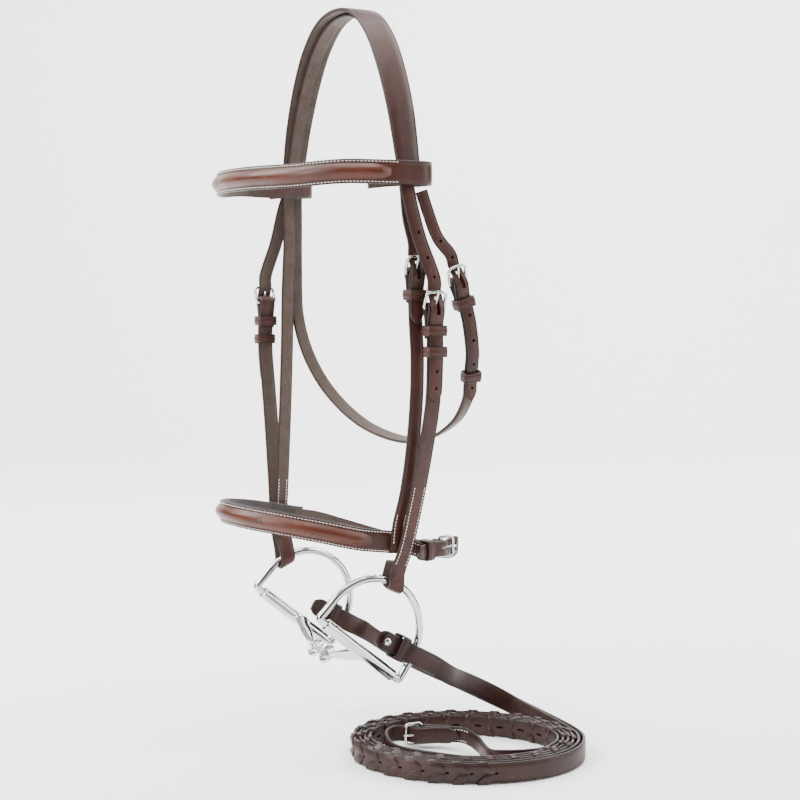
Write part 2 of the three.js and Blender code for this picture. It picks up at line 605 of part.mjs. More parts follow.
addPiece('near_mouthpiece_arm', mouthArm(1), 'steel');
addPiece('off_mouthpiece_arm', mouthArm(-1), 'steel');
addPiece('mouthpiece_link', mouthLink(), 'link');
for (const [prefix, place, lead] of [['near', nearRein, NEAR_LEAD], ['off', offRein, OFF_LEAD]]) {
  addPiece(`${prefix}_rein_lead`, reinLead(place, lead), 'rein');
  addPiece(`${prefix}_rein_billet`, reinBillet(place), 'rein');
  addPiece(`${prefix}_rein_keeper`, keeper(place, 15, REIN_W, -7, 7), 'rein');
  addPiece(`${prefix}_rein_hook_stud`, hookStud(place), 'steel');
}
addPiece('rein_coil', reinCoil(), 'rein');
addPiece('near_rein_end', reinEndNear(), 'rein');
addPiece('off_rein_end', reinEndOff(), 'rein');
addBuckle('rein', reinBuckle, REIN_END_W);

export default bridle;
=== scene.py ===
"""A snaffle bridle's looks: leather, thread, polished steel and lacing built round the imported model.

The frame is the model's own: metres, +Z up, the front of the horse's face towards -Y, its left side at +X.
"""

import math

import bmesh
import bpy
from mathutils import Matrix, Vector


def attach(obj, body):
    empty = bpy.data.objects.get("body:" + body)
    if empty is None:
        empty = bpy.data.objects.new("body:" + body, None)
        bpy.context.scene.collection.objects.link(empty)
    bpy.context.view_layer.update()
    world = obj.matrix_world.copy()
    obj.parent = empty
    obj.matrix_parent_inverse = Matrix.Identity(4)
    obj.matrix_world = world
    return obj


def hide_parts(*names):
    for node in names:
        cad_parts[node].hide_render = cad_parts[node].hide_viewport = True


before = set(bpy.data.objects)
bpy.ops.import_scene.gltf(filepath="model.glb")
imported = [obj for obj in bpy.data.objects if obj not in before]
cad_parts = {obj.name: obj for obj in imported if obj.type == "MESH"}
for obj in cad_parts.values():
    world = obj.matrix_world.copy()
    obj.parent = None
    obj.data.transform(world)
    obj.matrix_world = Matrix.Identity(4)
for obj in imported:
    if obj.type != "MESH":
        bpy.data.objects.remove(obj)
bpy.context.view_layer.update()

# ---- driving dimensions, as in the CAD part --------------------------------
LEATHER = 0.0026
CROWN_T = 0.0032
REIN_T = 0.0024
GAP = 0.0004
CHEEK_W = 0.013
BILLET_W = 0.0115
CROWN_W = 0.025
SLIP_W = 0.0115
BAND_W = 0.018
BAND_STITCH = 0.0074            # from a band's middle to each row of its stitching
ROLL_W = 0.0122
THROAT_W = 0.011
REIN_W = 0.016
REIN_END_W = 0.013
CHIN_W = 0.012
RING_X = 0.064
RING_R = 0.044
WIRE_R = 0.0032
BAR_R = 0.003
SLEEVE_R = 0.005
SLEEVE_BORE_R = 0.0035
FRAME_L = 0.014
FRAME_TILT = math.radians(22)
FOLD_R = 0.0042
TONGUE_R = 0.0011
BUCKLE_WIRE_R = 0.00125
POINT_LENGTH = 0.009
FLOOR_Z = -0.587
KEEPER_L = 0.008
KEEPER_WALL = 0.0015
KEEPER_AT = -0.016
RUNNER_AT = -0.032
STACK_LOW = -0.0037
STACK_HIGH = 0.0069
HOLE_R = 0.0012
HOLE_FLOOR = -0.0009             # a hole's bottom, from the middle of the strap's thickness

X_AXIS = Vector((1, 0, 0))
Y_AXIS = Vector((0, 1, 0))
Z_AXIS = Vector((0, 0, 1))


# ---- camera: level with the middle of the bridle, looking slightly down -----
VIEW_BACK = Vector((0.8829, -0.4695, 0))
CAMERA_AT = Vector((1.0354, -0.5022, -0.206))
CAMERA_PITCH = math.radians(5.1)
LENS_MM = 63


def make_camera():
    data = bpy.data.cameras.new("camera")
    data.lens = LENS_MM
    data.sensor_width = 36
    camera = bpy.data.objects.new("camera", data)
    bpy.context.collection.objects.link(camera)
    look = -VIEW_BACK * math.cos(CAMERA_PITCH) - Z_AXIS * math.sin(CAMERA_PITCH)
    camera.location = CAMERA_AT
    camera.rotation_euler = look.to_track_quat("-Z", "Y").to_euler()
    bpy.context.scene.camera = camera


# ---- materials --------------------------------------------------------------
class Nodes:
    """A short way to write a material's nodes."""

    def __init__(self, name):
        self.material = bpy.data.materials.new(name)
        self.material.use_nodes = True
        self.tree = self.material.node_tree
        self.shader = self.tree.nodes["Principled BSDF"]
        self.point = self.add("ShaderNodeTexCoord").outputs["Object"]

    def add(self, kind, **inputs):
        node = self.tree.nodes.new(kind)
        for key, value in inputs.items():
            self.feed(node.inputs[key.replace("_", " ")], value)
        return node

    def feed(self, socket, value):
        if isinstance(value, bpy.types.NodeSocket):
            self.tree.links.new(value, socket)
        else:
            socket.default_value = value

    def noise(self, scale, detail=3, rough=0.55, point=None):
        node = self.add("ShaderNodeTexNoise", Scale=scale, Detail=detail, Roughness=rough)
        self.feed(node.inputs["Vector"], point or self.point)
        return node.outputs["Fac"]

    def stretched(self, scale):
        node = self.add("ShaderNodeMapping")
        self.feed(node.inputs["Vector"], self.point)
        node.inputs["Scale"].default_value = scale
        return node.outputs["Vector"]

    def cells(self, scale):
        node = self.add("ShaderNodeTexVoronoi", Scale=scale)
        node.feature = "SMOOTH_F1"
        self.feed(node.inputs["Vector"], self.point)
        return node.outputs["Distance"]

    def ramp(self, value, low, high, out_low=0.0, out_high=1.0):
        node = self.add("ShaderNodeMapRange")
        for socket, number in zip(list(node.inputs)[:5], (value, low, high, out_low, out_high)):
            self.feed(socket, number)
        return node.outputs["Result"]

    def math(self, kind, a, b):
        node = self.add("ShaderNodeMath")
        node.operation = kind
        self.feed(node.inputs[0], a)
        self.feed(node.inputs[1], b)
        return node.outputs["Value"]

    def mix(self, factor, a, b):
        node = self.add("ShaderNodeMix")
        node.data_type = "RGBA"
        self.feed(node.inputs["Factor"], factor)
        for socket, colour in ((node.inputs[6], a), (node.inputs[7], b)):
            self.feed(socket, colour if isinstance(colour, bpy.types.NodeSocket) else (*colour, 1))
        return node.outputs[2]

    def attribute(self, name):
        node = self.add("ShaderNodeAttribute")
        node.attribute_name = name
        return node.outputs["Fac"]

    def bump(self, height, distance, strength=1.0):
        node = self.add("ShaderNodeBump", Strength=strength, Distance=distance)
        self.feed(node.inputs["Height"], height)
        self.feed(self.shader.inputs["Normal"], node.outputs["Normal"])

    def set(self, **inputs):
        for key, value in inputs.items():
            self.feed(self.shader.inputs[key.replace("_", " ")], value)


def leather(name, colour, dark, light, rough=0.44, pore=1.0, coat=0.05):
    """Dressed bridle leather: fine pores, uneven dye, burnished dark edges and pale rubbed patches; the
    same edge darkening paints shade where a roll meets its band and inside cut holes and slots.
    """
    n = Nodes(name)
    patches = n.ramp(n.noise(26, 4), 0.35, 0.68)
    dyed = n.mix(patches, dark, colour)
    rubbed = n.ramp(n.noise(120, 5, 0.65), 0.56, 0.72, 0, 0.45)
    worn = n.mix(rubbed, dyed, light)
    # Darker by the edge value: the straps' real burnished edges, plus painted shade at a roll's foot and in
    # cut holes and slots.
    edge = n.ramp(n.attribute("edge"), 0.35, 1.0, 0, 0.75)
    n.set(Base_Color=n.mix(edge, worn, tuple(0.35 * c for c in dark)))
    n.set(Roughness=n.ramp(n.noise(60, 4), 0.3, 0.7, rough - 0.09, rough + 0.09))
    n.set(Coat_Weight=coat, Coat_Roughness=0.25, Specular_IOR_Level=0.27)
    pores = n.math("MULTIPLY", n.cells(1300), 0.6)
    creases = n.math("MULTIPLY", n.noise(520, 4, 0.6), 0.9)
    n.bump(n.math("ADD", pores, creases), 0.00016 * pore, 0.7)
    return n.material


def flesh_leather(name, colour, dark):
    """The back of a strap: matt and fibrous, with the fibres drawn out upright."""
    n = Nodes(name)
    fibres = n.noise(900, 5, 0.7, n.stretched((1, 1, 0.25)))
    n.set(Base_Color=n.mix(n.ramp(fibres, 0.3, 0.7), dark, colour))
    n.set(Roughness=n.ramp(n.noise(90, 4), 0.3, 0.7, 0.66, 0.9), Sheen_Weight=0.12, Sheen_Roughness=0.5)
    n.bump(fibres, 0.0003, 0.8)
    return n.material


def steel(name, colour=(0.60, 0.60, 0.595), low=0.06, high=0.17, grain=1.0):
    """Polished stainless steel with faint hairline scratches and handling marks."""
    n = Nodes(name)
    marks = n.noise(45, 4, 0.6)
    scratches = n.noise(700, 3, 0.6, n.stretched((1, 0.12, 1)))
    n.set(Metallic=1.0, Roughness=n.ramp(n.math("MULTIPLY", marks, scratches), 0.12, 0.4, low, high))
    n.set(Base_Color=n.mix(n.ramp(marks, 0.3, 0.7), tuple(0.86 * c for c in colour), colour))
    n.bump(scratches, 0.00003 * grain, 0.35)
    return n.material


def thread(name):
    """Waxed cream thread, with finely mottled colour."""
    n = Nodes(name)
    plies = n.noise(3200, 2, 0.5, n.stretched((1, 1, 1.4)))
    n.set(Base_Color=n.mix(n.ramp(plies, 0.35, 0.65), (0.50, 0.44, 0.36), (0.82, 0.78, 0.70)))
    n.set(Roughness=n.ramp(plies, 0.3, 0.7, 0.5, 0.72), Sheen_Weight=0.2, Sheen_Roughness=0.4)
    n.bump(plies, 0.00012, 0.8)
    return n.material


GRAIN = leather("leather_grain", (0.045, 0.0125, 0.0076), (0.026, 0.0075, 0.0048), (0.080, 0.026, 0.0155))
# The raised rolls use the band's leather made lighter and redder: a painted highlight on the roll.
ROLL_LEATHER_HIGHLIT = leather("leather_roll_painted_highlight", (0.080, 0.0205, 0.0105), (0.045, 0.012, 0.0068),
                 (0.125, 0.037, 0.020), 0.36)
REIN = leather("leather_rein", (0.030, 0.0095, 0.0063), (0.017, 0.0056, 0.0040), (0.055, 0.019, 0.012),
               0.46)
LACE = leather("leather_lace", (0.026, 0.0085, 0.0058), (0.013, 0.0048, 0.0036), (0.050, 0.018, 0.012),
               0.42)
FLESH = flesh_leather("leather_flesh", (0.058, 0.034, 0.022), (0.030, 0.0175, 0.012))
LINING = flesh_leather("padded_lining", (0.022, 0.014, 0.011), (0.010, 0.007, 0.006))
STEEL = steel("polished_steel")
LINK_STEEL = steel("cast_link_steel", (0.36, 0.36, 0.35), 0.3, 0.5, 6.0)
THREAD = thread("waxed_thread")


# ---- routes -----------------------------------------------------------------
class Place:
    """A local frame on a strap: up runs along it, out is its face, side its width."""

    def __init__(self, origin, up, out):
        self.origin = Vector(origin)
        self.up = Vector(up).normalized()
        self.side = self.up.cross(Vector(out)).normalized()
        self.out = self.side.cross(self.up).normalized()

    def at(self, along, off, across=0.0):
        return self.origin + self.side * across + self.up * along + self.out * off


class Station:
    """One cross-section of a sweep: where it is, which way it faces, and how far along the route."""

    def __init__(self, point, tangent, width, run):
        self.point = point
        self.tangent = tangent
        self.width = (width - tangent * width.dot(tangent)).normalized()
        self.face = tangent.cross(self.width).normalized()
        self.run = run

    def at(self, across, off):
        return self.point + self.width * across + self.face * off


def centripetal(p0, p1, p2, p3, share):
    """A point on the centripetal Catmull-Rom curve between p1 and p2."""
    knots = [0.0]
    for a, b in ((p0, p1), (p1, p2), (p2, p3)):
        knots.append(knots[-1] + max((b - a).length, 1e-6) ** 0.5)
    t0, t1, t2, t3 = knots
    t = t1 + (t2 - t1) * share
    a1 = p0.lerp(p1, (t - t0) / (t1 - t0))
    a2 = p1.lerp(p2, (t - t1) / (t2 - t1))
    a3 = p2.lerp(p3, (t - t2) / (t3 - t2))
    b1 = a1.lerp(a2, (t - t0) / (t2 - t0))
    b2 = a2.lerp(a3, (t - t1) / (t3 - t1))
    return b1.lerp(b2, (t - t1) / (t2 - t1))


def curve_points(points, step, least=2):
    """Points about step apart on the smooth curve through the points, with each one's place among them."""
    points = [Vector(p) for p in points]
    ends = [points[0] * 2 - points[1], *points, points[-1] * 2 - points[-2]]
    out = []
    for i in range(len(points) - 1):
        count = max(least, math.ceil((points[i + 1] - points[i]).length / step))
        for k in range(count):
            out.append((centripetal(*ends[i:i + 4], k / count), i + k / count))
    out.append((points[-1], len(points) - 1.0))
    return out


def stations(points, widths, step=0.002, least=3):
    """The cross-sections of a strap. widths is one direction, or one for each point."""
    samples = curve_points(points, step, least)
    out = []
    run = 0.0
    for i, (point, place) in enumerate(samples):
        before = samples[max(i - 1, 0)][0]
        after = samples[min(i + 1, len(samples) - 1)][0]
        if i:
            run += (point - samples[i - 1][0]).length
        if isinstance(widths, list):
            k = min(int(place), len(widths) - 2)
            width = widths[k].lerp(widths[k + 1], place - k)
        else:
            width = widths
        out.append(Station(point, (after - before).normalized(), width, run))
    return out


def station_at(line, run):
    """The cross-section at that distance along the line."""
    low, high = 0, len(line) - 1
    while high - low > 1:
        middle = (low + high) // 2
        if line[middle].run <= run:
            low = middle
        else:
            high = middle
    a, b = line[low], line[high]
    share = min(max((run - a.run) / max(b.run - a.run, 1e-9), 0), 1)
    tangent = a.tangent.lerp(b.tangent, share).normalized()
    return Station(a.point.lerp(b.point, share), tangent, a.width.lerp(b.width, share), run)


# ---- mesh making --------------------------------------------------------------
SMOOTH_ANGLE = math.radians(38)


class Shape:
    """Collects faces for one object, with an edge value for each point and a material for each face."""

    def __init__(self):
        self.points = []
        self.edges = []
        self.faces = []
        self.finishes = []

    def add_ring(self, points, edge=0.0):
        start = len(self.points)
        self.points += points
        self.edges += list(edge) if isinstance(edge, (list, tuple)) else [edge] * len(points)
        return list(range(start, start + len(points)))

    def bridge(self, a, b, finishes=0):
        for i in range(len(a)):
            k = (i + 1) % len(a)
            self.faces.append((a[i], a[k], b[k], b[i]))
            self.finishes.append(finishes[i] if isinstance(finishes, list) else finishes)

    def cap(self, ring):
        self.faces.append(tuple(ring))
        self.finishes.append(0)

    def tube(self, rings, edge=0.0, finishes=0, closed=False):
        """Joins rings of points into a closed skin."""
        made = [self.add_ring(ring, edge) for ring in rings]
        for a, b in zip(made, made[1:] + made[:1] if closed else made[1:]):
            self.bridge(a, b, finishes)
        if not closed:
            self.cap(made[0])
            self.cap(made[-1])

    def build(self, name, *materials):
        mesh = bpy.data.meshes.new(name)
        mesh.from_pydata([tuple(p) for p in self.points], [], self.faces)
        mesh.attributes.new("edge", "FLOAT", "POINT").data.foreach_set("value", self.edges)
        for material in materials:
            mesh.materials.append(material)
        mesh.polygons.foreach_set("material_index", self.finishes)
        tidy_mesh(mesh)
        piece = bpy.data.objects.new(name, mesh)
        bpy.context.collection.objects.link(piece)
        return piece


def tidy_mesh(mesh):
    """Faces turned outwards, smooth, with sharp corners kept."""
    work = bmesh.new()
    work.from_mesh(mesh)
    bmesh.ops.recalc_face_normals(work, faces=work.faces)
    work.to_mesh(mesh)
    work.free()
    mesh.polygons.foreach_set("use_smooth", [True] * len(mesh.polygons))
    mesh.set_sharp_from_angle(angle=SMOOTH_ANGLE)
    mesh.update()


def applied(piece):
    """Bakes a piece's modifiers into its mesh."""
    graph = bpy.context.evaluated_depsgraph_get()
    mesh = bpy.data.meshes.new_from_object(piece.evaluated_get(graph))
    piece.modifiers.clear()
    piece.data = mesh
    tidy_mesh(mesh)
    return piece


def cut(piece, cutters):
    """Punches the cutters' shape out of a piece."""
    shape = Shape()
    for rings in cutters:
        # The cut faces take the full edge value, so the walls of holes and slots and the floors of blind
        # holes are darkened like the burnished edges: painted shade in the recesses.
        shape.tube(rings, 1.0)
    tool = shape.build("punch", piece.data.materials[0])
    punch = piece.modifiers.new("punch", "BOOLEAN")
    punch.operation = "DIFFERENCE"
    punch.solver = "EXACT"
    punch.object = tool
    applied(piece)
    bpy.data.objects.remove(tool)
    return piece


def finish_piece(piece, body, slot, *nodes):
    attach(piece, body)
    if nodes:
        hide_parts(*nodes)
    return piece


CREASE_IN = 0.0017              # the creased line runs this far inside a strap's edge
CREASE_DEEP = 0.00022


def strap_section(width, thickness, outer):
    """A strap's outline as (across, off, edge value), with rounded edges and a creased line beside each.

    outer is +1 where the strap's grain side is on its face, -1 where it is on its back.
    """
    w, t = width / 2, thickness / 2
    r = min(0.42 * thickness, 0.0011)
    crown = 0.00012
    grain = [(w - r, t, 0.7), (w - CREASE_IN + 0.0004, t, 0.25), (w - CREASE_IN, t - CREASE_DEEP, 0.55),
             (w - CREASE_IN - 0.0004, t, 0.12), (w * 0.4, t + crown, 0.0)]
    grain += [(-c, o, e) for c, o, e in reversed(grain)]
    turn = [(w - r * (1 - math.cos(a)), t - r * (1 - math.sin(a)))
            for a in (math.radians(60), math.radians(25))]
    left = [(-c, o, 1.0) for c, o in turn]
    back = [(-w, 0.0, 1.0), *[(-c, -o, 1.0) for c, o in reversed(turn)], (-w + r, -t, 0.3),
            (-w * 0.3, -t, 0.0), (w * 0.3, -t, 0.0), (w - r, -t, 0.3), *[(c, -o, 1.0) for c, o in turn],
            (w, 0.0, 1.0)]
    right = [(c, o, 1.0) for c, o in reversed(turn)]
    outline = grain + left + back + right
    return [(c, o * outer, e) for c, o, e in outline]


def section_finishes(section, outer, thickness):
    """0 on the grain side and edges, 1 on the flesh side."""
    back = -0.99 * thickness / 2
    return [1 if max(a[1] * outer, b[1] * outer) < back else 0
            for a, b in zip(section, section[1:] + section[:1])]


def same_width(run, length):
    return 1.0


def pointed(run, length):
    """A billet's tip: an ogive as long as POINT_LENGTH."""
    left = min(max((length - run) / POINT_LENGTH, 0.0), 1.0)
    return 0.10 + 0.90 * math.sin(left * math.pi / 2) ** 0.8


def add_strap(shape, line, width, thickness, outer, taper=same_width):
    section = strap_section(width, thickness, outer)
    length = line[-1].run
    rings = [[s.at(c * taper(s.run, length), o) for c, o, _ in section] for s in line]
    shape.tube(rings, [e for _, _, e in section], section_finishes(section, outer, thickness))


def fine_end(line, span=POINT_LENGTH, count=14):
    """The line with extra cross-sections near its end, for a billet's tip."""
    length = line[-1].run
    kept = [s for s in line if s.run < length - span]
    extra = [station_at(line, length - span * (1 - (i / count) ** 0.7)) for i in range(count + 1)]
    return kept + extra


def ring_points(centre, across, along, radius, sides):
    return [centre + across * (radius * math.cos(a)) + along * (radius * math.sin(a))
            for a in (2 * math.pi * i / sides for i in range(sides))]


def add_wire(shape, points, radius, sides=16, closed=False, hint=Z_AXIS):
    """A round wire along points. radius is a number, or one for each point."""
    count = len(points)
    rings = []
    for i, point in enumerate(points):
        before = points[i - 1] if closed or i else point
        after = points[(i + 1) % count] if closed or i < count - 1 else point
        tangent = (after - before).normalized()
        across = tangent.cross(hint).normalized()
        along = across.cross(tangent)
        here = radius[i] if isinstance(radius, list) else radius
        rings.append(ring_points(point, across, along, here, sides))
    shape.tube(rings, 0.0, 0, closed)


def add_lathe(shape, profile, origin, axis, flat=None, sides=24):
    """Turns (radius, height) pairs round an axis. flat, if given, lines the section's points up with it."""
    axis = axis.normalized()
    across = (flat or axis.orthogonal()).normalized()
    across = (across - axis * across.dot(axis)).normalized()
    other = axis.cross(across)
    rings = [ring_points(origin + axis * h, other, across, max(r, 1e-5), sides) for r, h in profile]
    shape.tube(rings)


def add_torus(shape, centre, normal, radius, wire, count=40, sides=14):
    across = normal.orthogonal().normalized()
    along = normal.cross(across).normalized()
    circle = [centre + across * (radius * math.cos(a)) + along * (radius * math.sin(a))
              for a in (2 * math.pi * i / count for i in range(count))]
    add_wire(shape, circle, wire, sides, True, normal)


def hole_cutter(station, outer):
    """A punched hole, stopped short of the strap's back so that it reads as a dark pit; the cut gives its
    walls and floor painted shade.
    """
    depths = (outer * HOLE_FLOOR, outer * 0.004)
    return [ring_points(station.point + station.face * d, station.width, station.tangent, HOLE_R, 14)
            for d in sorted(depths)]


def slot_cutter(place, start, end, low, high, half=0.0015):
    corners = ((-half, start), (half, start), (half, end), (-half, end))
    return [[place.at(along, off, across) for across, along in corners] for off in (low, high)]


def tongue_slot(place):
    """The hole in a billet that its buckle's tongue comes up through."""
    return slot_cutter(place, -0.004, 0.0095, 0, 0.01)


def fold_slot(place):
    """The slot in a strap's folded end, where the tongue hooks round the buckle's bar."""
    return slot_cutter(place, -0.005, 0.007, 0, 0.009)


# ---- stitching ------------------------------------------------------------------
STITCH_PITCH = 0.0027
STITCH_L = 0.0020
THREAD_R = 0.00034


def add_stitch(shape, station, across, off, slant):
    """One stitch: a short thread that dips into the leather at both ends."""
    ahead = (station.tangent + station.width * slant).normalized()
    centre = station.at(across, off)
    lift = station.face * (1 if off > 0 else -1)
    rings = []
    for share, radius, sink in ((-1, 0.45, 0.9), (-0.72, 0.9, 0.2), (0, 1.0, -0.25), (0.72, 0.9, 0.2),
                                (1, 0.45, 0.9)):
        point = centre + ahead * (share * STITCH_L / 2) - lift * (sink * THREAD_R)
        side = ahead.cross(lift).normalized()
        rings.append(ring_points(point, side, lift, THREAD_R * radius, 6))
    shape.tube(rings)


def add_stitch_row(shape, line, across, off, start, end):
    """A row of stitches along a strap, from one distance along it to another."""
    count = int((end - start) / STITCH_PITCH)
    for i in range(count):
        add_stitch(shape, station_at(line, start + (i + 0.5) * STITCH_PITCH), across, off, 0.10)


# ---- reins: cords, made first --------------------------------------------------------
BAR_TOP = Vector((0, -0.057, -0.472))
BAR_FOOT = Vector((0, 0.013, -0.53))
BAR_DIR = (BAR_FOOT - BAR_TOP).normalized()
RING_OUT = Vector((0, -BAR_DIR.z, BAR_DIR.y))
BAR_MID = (BAR_TOP + BAR_FOOT) / 2
SIDE = 0.016
RING_C = BAR_MID + RING_OUT * SIDE
REIN_ANGLE = math.radians(-30)
REIN_DIR = Vector((0, math.cos(REIN_ANGLE), math.sin(REIN_ANGLE)))
REIN_AT = RING_C + REIN_DIR * RING_R
TAB = 0.036

REIN_Z = FLOOR_Z + 0.0003 + REIN_W / 2
COIL_C = Vector((0.1, 0.055, 0))
COIL_LONG = Vector((0.517, 0.856, 0)).normalized()
COIL_SHORT = Vector((COIL_LONG.y, -COIL_LONG.x, 0))
COIL_A = 0.096
COIL_B = 0.070
COIL_PITCH = 0.0083             # how far in one rein moves with each turn
COIL_LAYER = COIL_PITCH / 2
COIL_STEP = math.radians(15)
BUCKLE_Z = FLOOR_Z + 0.0108


def coil_point(along, across, z=REIN_Z):
    point = COIL_C + COIL_LONG * along + COIL_SHORT * across
    return Vector((point.x, point.y, z))


def coil_turns(first, last, inset):
    """A rein's turns, from one angle to another, moving in by COIL_PITCH each turn."""
    count = round((last - first) / COIL_STEP)
    points = []
    for i in range(count + 1):
        a = first + (last - first) * i / count
        depth = inset + COIL_PITCH * (a - first) / (2 * math.pi)
        points.append(coil_point((COIL_A - depth) * math.cos(a), (COIL_B - depth) * math.sin(a)))
    return points


def ring_place(side):
    origin = REIN_AT + X_AXIS * (side * RING_X)
    return Place(origin, -REIN_DIR, X_AXIS * side)


NEAR_REIN_PLACE = ring_place(1)
OFF_REIN_PLACE = ring_place(-1)
REIN_BUCKLE = Place(coil_point(-0.036, -0.018, BUCKLE_Z), -COIL_LONG, COIL_SHORT)


def folded_end(place):
    """The end of a strap folded round a buckle's bar."""
    turn = [place.at(FOLD_R * math.cos(a), FOLD_R * math.sin(a)) for a in
            (math.radians(d) for d in (-90, -45, 0, 45, 90))]
    inner = [place.at(*p) for p in ((-0.022, -0.0017), (-0.011, -0.0017), (-0.005, -0.0028))]
    outer = [place.at(*p) for p in ((-0.005, 0.0028), (-0.011, 0.0017), (-0.02, 0.0017))]
    return inner + turn + outer


def through_buckle(place):
    """The stretch of a billet that passes through a buckle and on under its keeper."""
    return [place.at(*p) for p in ((0.022, 0.0014), (0.014, 0.0014), (0.007, 0.0043), (0, 0.0075),
                                   (-0.006, 0.0063), (-0.011, 0.0049), (-0.02, 0.0049))]


def rein_start(place):
    return [place.at(*p) for p in ((TAB, -0.0019), (0.02, -0.0022), (0.014, -0.0028), (0.005, -0.0056),
                                   (-0.006, -0.0056), (-0.022, -0.0022))]


NEAR_LEAD = [Vector(p) for p in (
    (0.06, 0.062, -0.533), (0.048, 0.086, -0.546), (0.046, 0.11, -0.559), (0.06, 0.131, -0.572))]
OFF_LEAD = [Vector(p) for p in (
    (-0.04, 0.058, -0.532), (-0.014, 0.072, -0.541), (0.01, 0.094, -0.552), (0.032, 0.12, -0.566),
    (0.058, 0.14, -0.5765))]
NEAR_TURNS = coil_turns(math.radians(-15), math.radians(758), 0.0022 + COIL_LAYER)
OFF_TURNS = coil_turns(math.radians(-15), math.radians(810), 0.0022)
NEAR_END = [coil_point(*p) for p in ((0.021, 0.033), (0.014, 0.017), (0.01, 0))]
NEAR_END.append(coil_point(-0.002, -0.014, BUCKLE_Z))
OFF_END = [coil_point(*p) for p in ((-0.045, 0.031), (-0.059, 0.015))]
OFF_END.append(coil_point(-0.064, -0.003, BUCKLE_Z))
NEAR_ROUTE = [*rein_start(NEAR_REIN_PLACE), *NEAR_LEAD, *NEAR_TURNS, *NEAR_END,
              *reversed(folded_end(REIN_BUCKLE))]
OFF_ROUTE = [*rein_start(OFF_REIN_PLACE), *OFF_LEAD, *OFF_TURNS, *OFF_END, *through_buckle(REIN_BUCKLE),
             REIN_BUCKLE.at(-0.03, 0.006)]
LACED_FROM = 0.42               # how far down a rein its lacing starts
LACED_TO = 0.20                 # how far from the rein's inner end the lacing stops
LACE_PITCH = 0.0185
LACE_W = 0.0074
LACE_T = 0.0009
SLOT_L = 0.0056


def narrowing_end(length_of_narrow, share):
    """A rein narrows towards its inner end, which passes the buckle."""
    def taper(run, length):
        left = (length - run) / length_of_narrow
        return share + (1 - share) * min(max(left - 0.8, 0) / 0.4, 1)
    return taper


def near_taper(run, length):
    start = min(1.0, 0.55 + 0.45 * math.sin(min(run / 0.007, 1) * math.pi / 2))
    return start * narrowing_end(0.11, REIN_END_W / REIN_W)(run, length)


def off_taper(run, length):
    return near_taper(run, length) * pointed(run, length)


def add_lace_arm(shape, line, run, side, outer):
    """One arm of a lace's V: out of the middle hole, across the face, round the edge and back in behind."""
    half_t = REIN_T / 2
    steps = ((0.0, 0.0002, -0.0004, 1, 0), (0.0022, 0.0018, 0.0006, 1, 0), (0.0064, 0.0048, 0.0009, 1, 0.1),
             (0.0092, 0.0070, 0.0008, 0.8, 0.6), (0.0104, 0.0084, -0.0002, 0.2, 1),
             (0.0106, 0.0084, -0.0019, -0.2, 1), (0.0106, 0.0070, -0.0029, -0.9, 0.5),
             (0.0100, 0.0044, -0.00295, -1, 0), (0.0090, 0.0020, -0.0026, -1, 0),
             (0.0080, 0.0006, -0.0014, -1, 0))
    middle = []
    for along, across, off, face_share, edge_share in steps:
        station = station_at(line, run + along)
        point = station.at(across * side, (half_t + off) * outer)
        normal = station.face * (face_share * outer) + station.width * (edge_share * side)
        middle.append((point, normal.normalized()))
    rings = []
    for i, (point, normal) in enumerate(middle):
        ahead = middle[min(i + 1, len(middle) - 1)][0] - middle[max(i - 1, 0)][0]
        across = ahead.cross(normal).normalized()
        half = LACE_W / 2 * (0.35, 0.85, 1.0, 0.95, 0.85, 0.8, 0.75, 0.6, 0.4, 0.25)[i]
        outline = ((-1, 0), (-0.8, 0.5), (0, 0.62), (0.8, 0.5), (1, 0), (0.8, -0.5), (-0.8, -0.5))
        rings.append([point + across * (c * half) + normal * (o * LACE_T) for c, o in outline])
    shape.tube(rings, 0.15)


def lace_runs(length):
    """Where along a rein its lace comes up through the middle."""
    return [LACED_FROM + i * LACE_PITCH for i in range(int((length - LACED_TO - LACED_FROM) / LACE_PITCH))]


def make_lacing(name, line, outer):
    shape = Shape()
    for run in lace_runs(line[-1].run):
        for side in (1, -1):
            add_lace_arm(shape, line, run, side, outer)
    return finish_piece(shape.build(name, LACE), "reins", "rein")


def lace_slot(station):
    """The slot that a lace comes up through, cut right through the rein."""
    half_w, half_l, reach = 0.0008, SLOT_L / 2, REIN_T
    corners = ((-half_w, -half_l), (half_w, -half_l), (half_w, half_l), (-half_w, half_l))
    return [[station.at(across, off) + station.tangent * along for across, along in corners]
            for off in (-reach, reach)]


def make_rein(name, route, taper):
    line = stations(route, Z_AXIS, 0.004, 2)
    shape = Shape()
    add_strap(shape, line, REIN_W, REIN_T, -1, taper)
    piece = shape.build(name, REIN, REIN)
    return cut(piece, [lace_slot(station_at(line, run)) for run in lace_runs(line[-1].run)]), line


make_camera()

near_rein, near_line = make_rein("near_rein", NEAR_ROUTE, near_taper)
off_rein, off_line = make_rein("off_rein", OFF_ROUTE, off_taper)


# ---- straps -------------------------------------------------------------------
ARCH = ((0, 0.0046), (0.03, -0.001), (0.054, -0.019), (0.072, -0.045), (0.088, -0.081), (0.098, -0.118),
        (0.103, -0.14))
SLIP_DROP = (CROWN_T + LEATHER) / 2 + GAP

NEAR_CHEEK = Place((0.109, 0.019, -0.232), Z_AXIS, X_AXIS)
OFF_CHEEK = Place((-0.109, -0.027, -0.23), Z_AXIS, -X_AXIS)
HANGER = Place((0.0965, 0.009, -0.205), Z_AXIS, X_AXIS)
CHIN = Place((0.065, 0.048, -0.4245), (-0.35, 0.937, 0), (0.937, 0.35, 0))
THROAT = Place((0.104, 0.043, -0.212), (0, -0.3, 0.95), X_AXIS)
THROAT_RUNNER = Place((0.0975, 0.0585, -0.284), (0.29, -0.1, 0.95), (1, 0, -0.3))

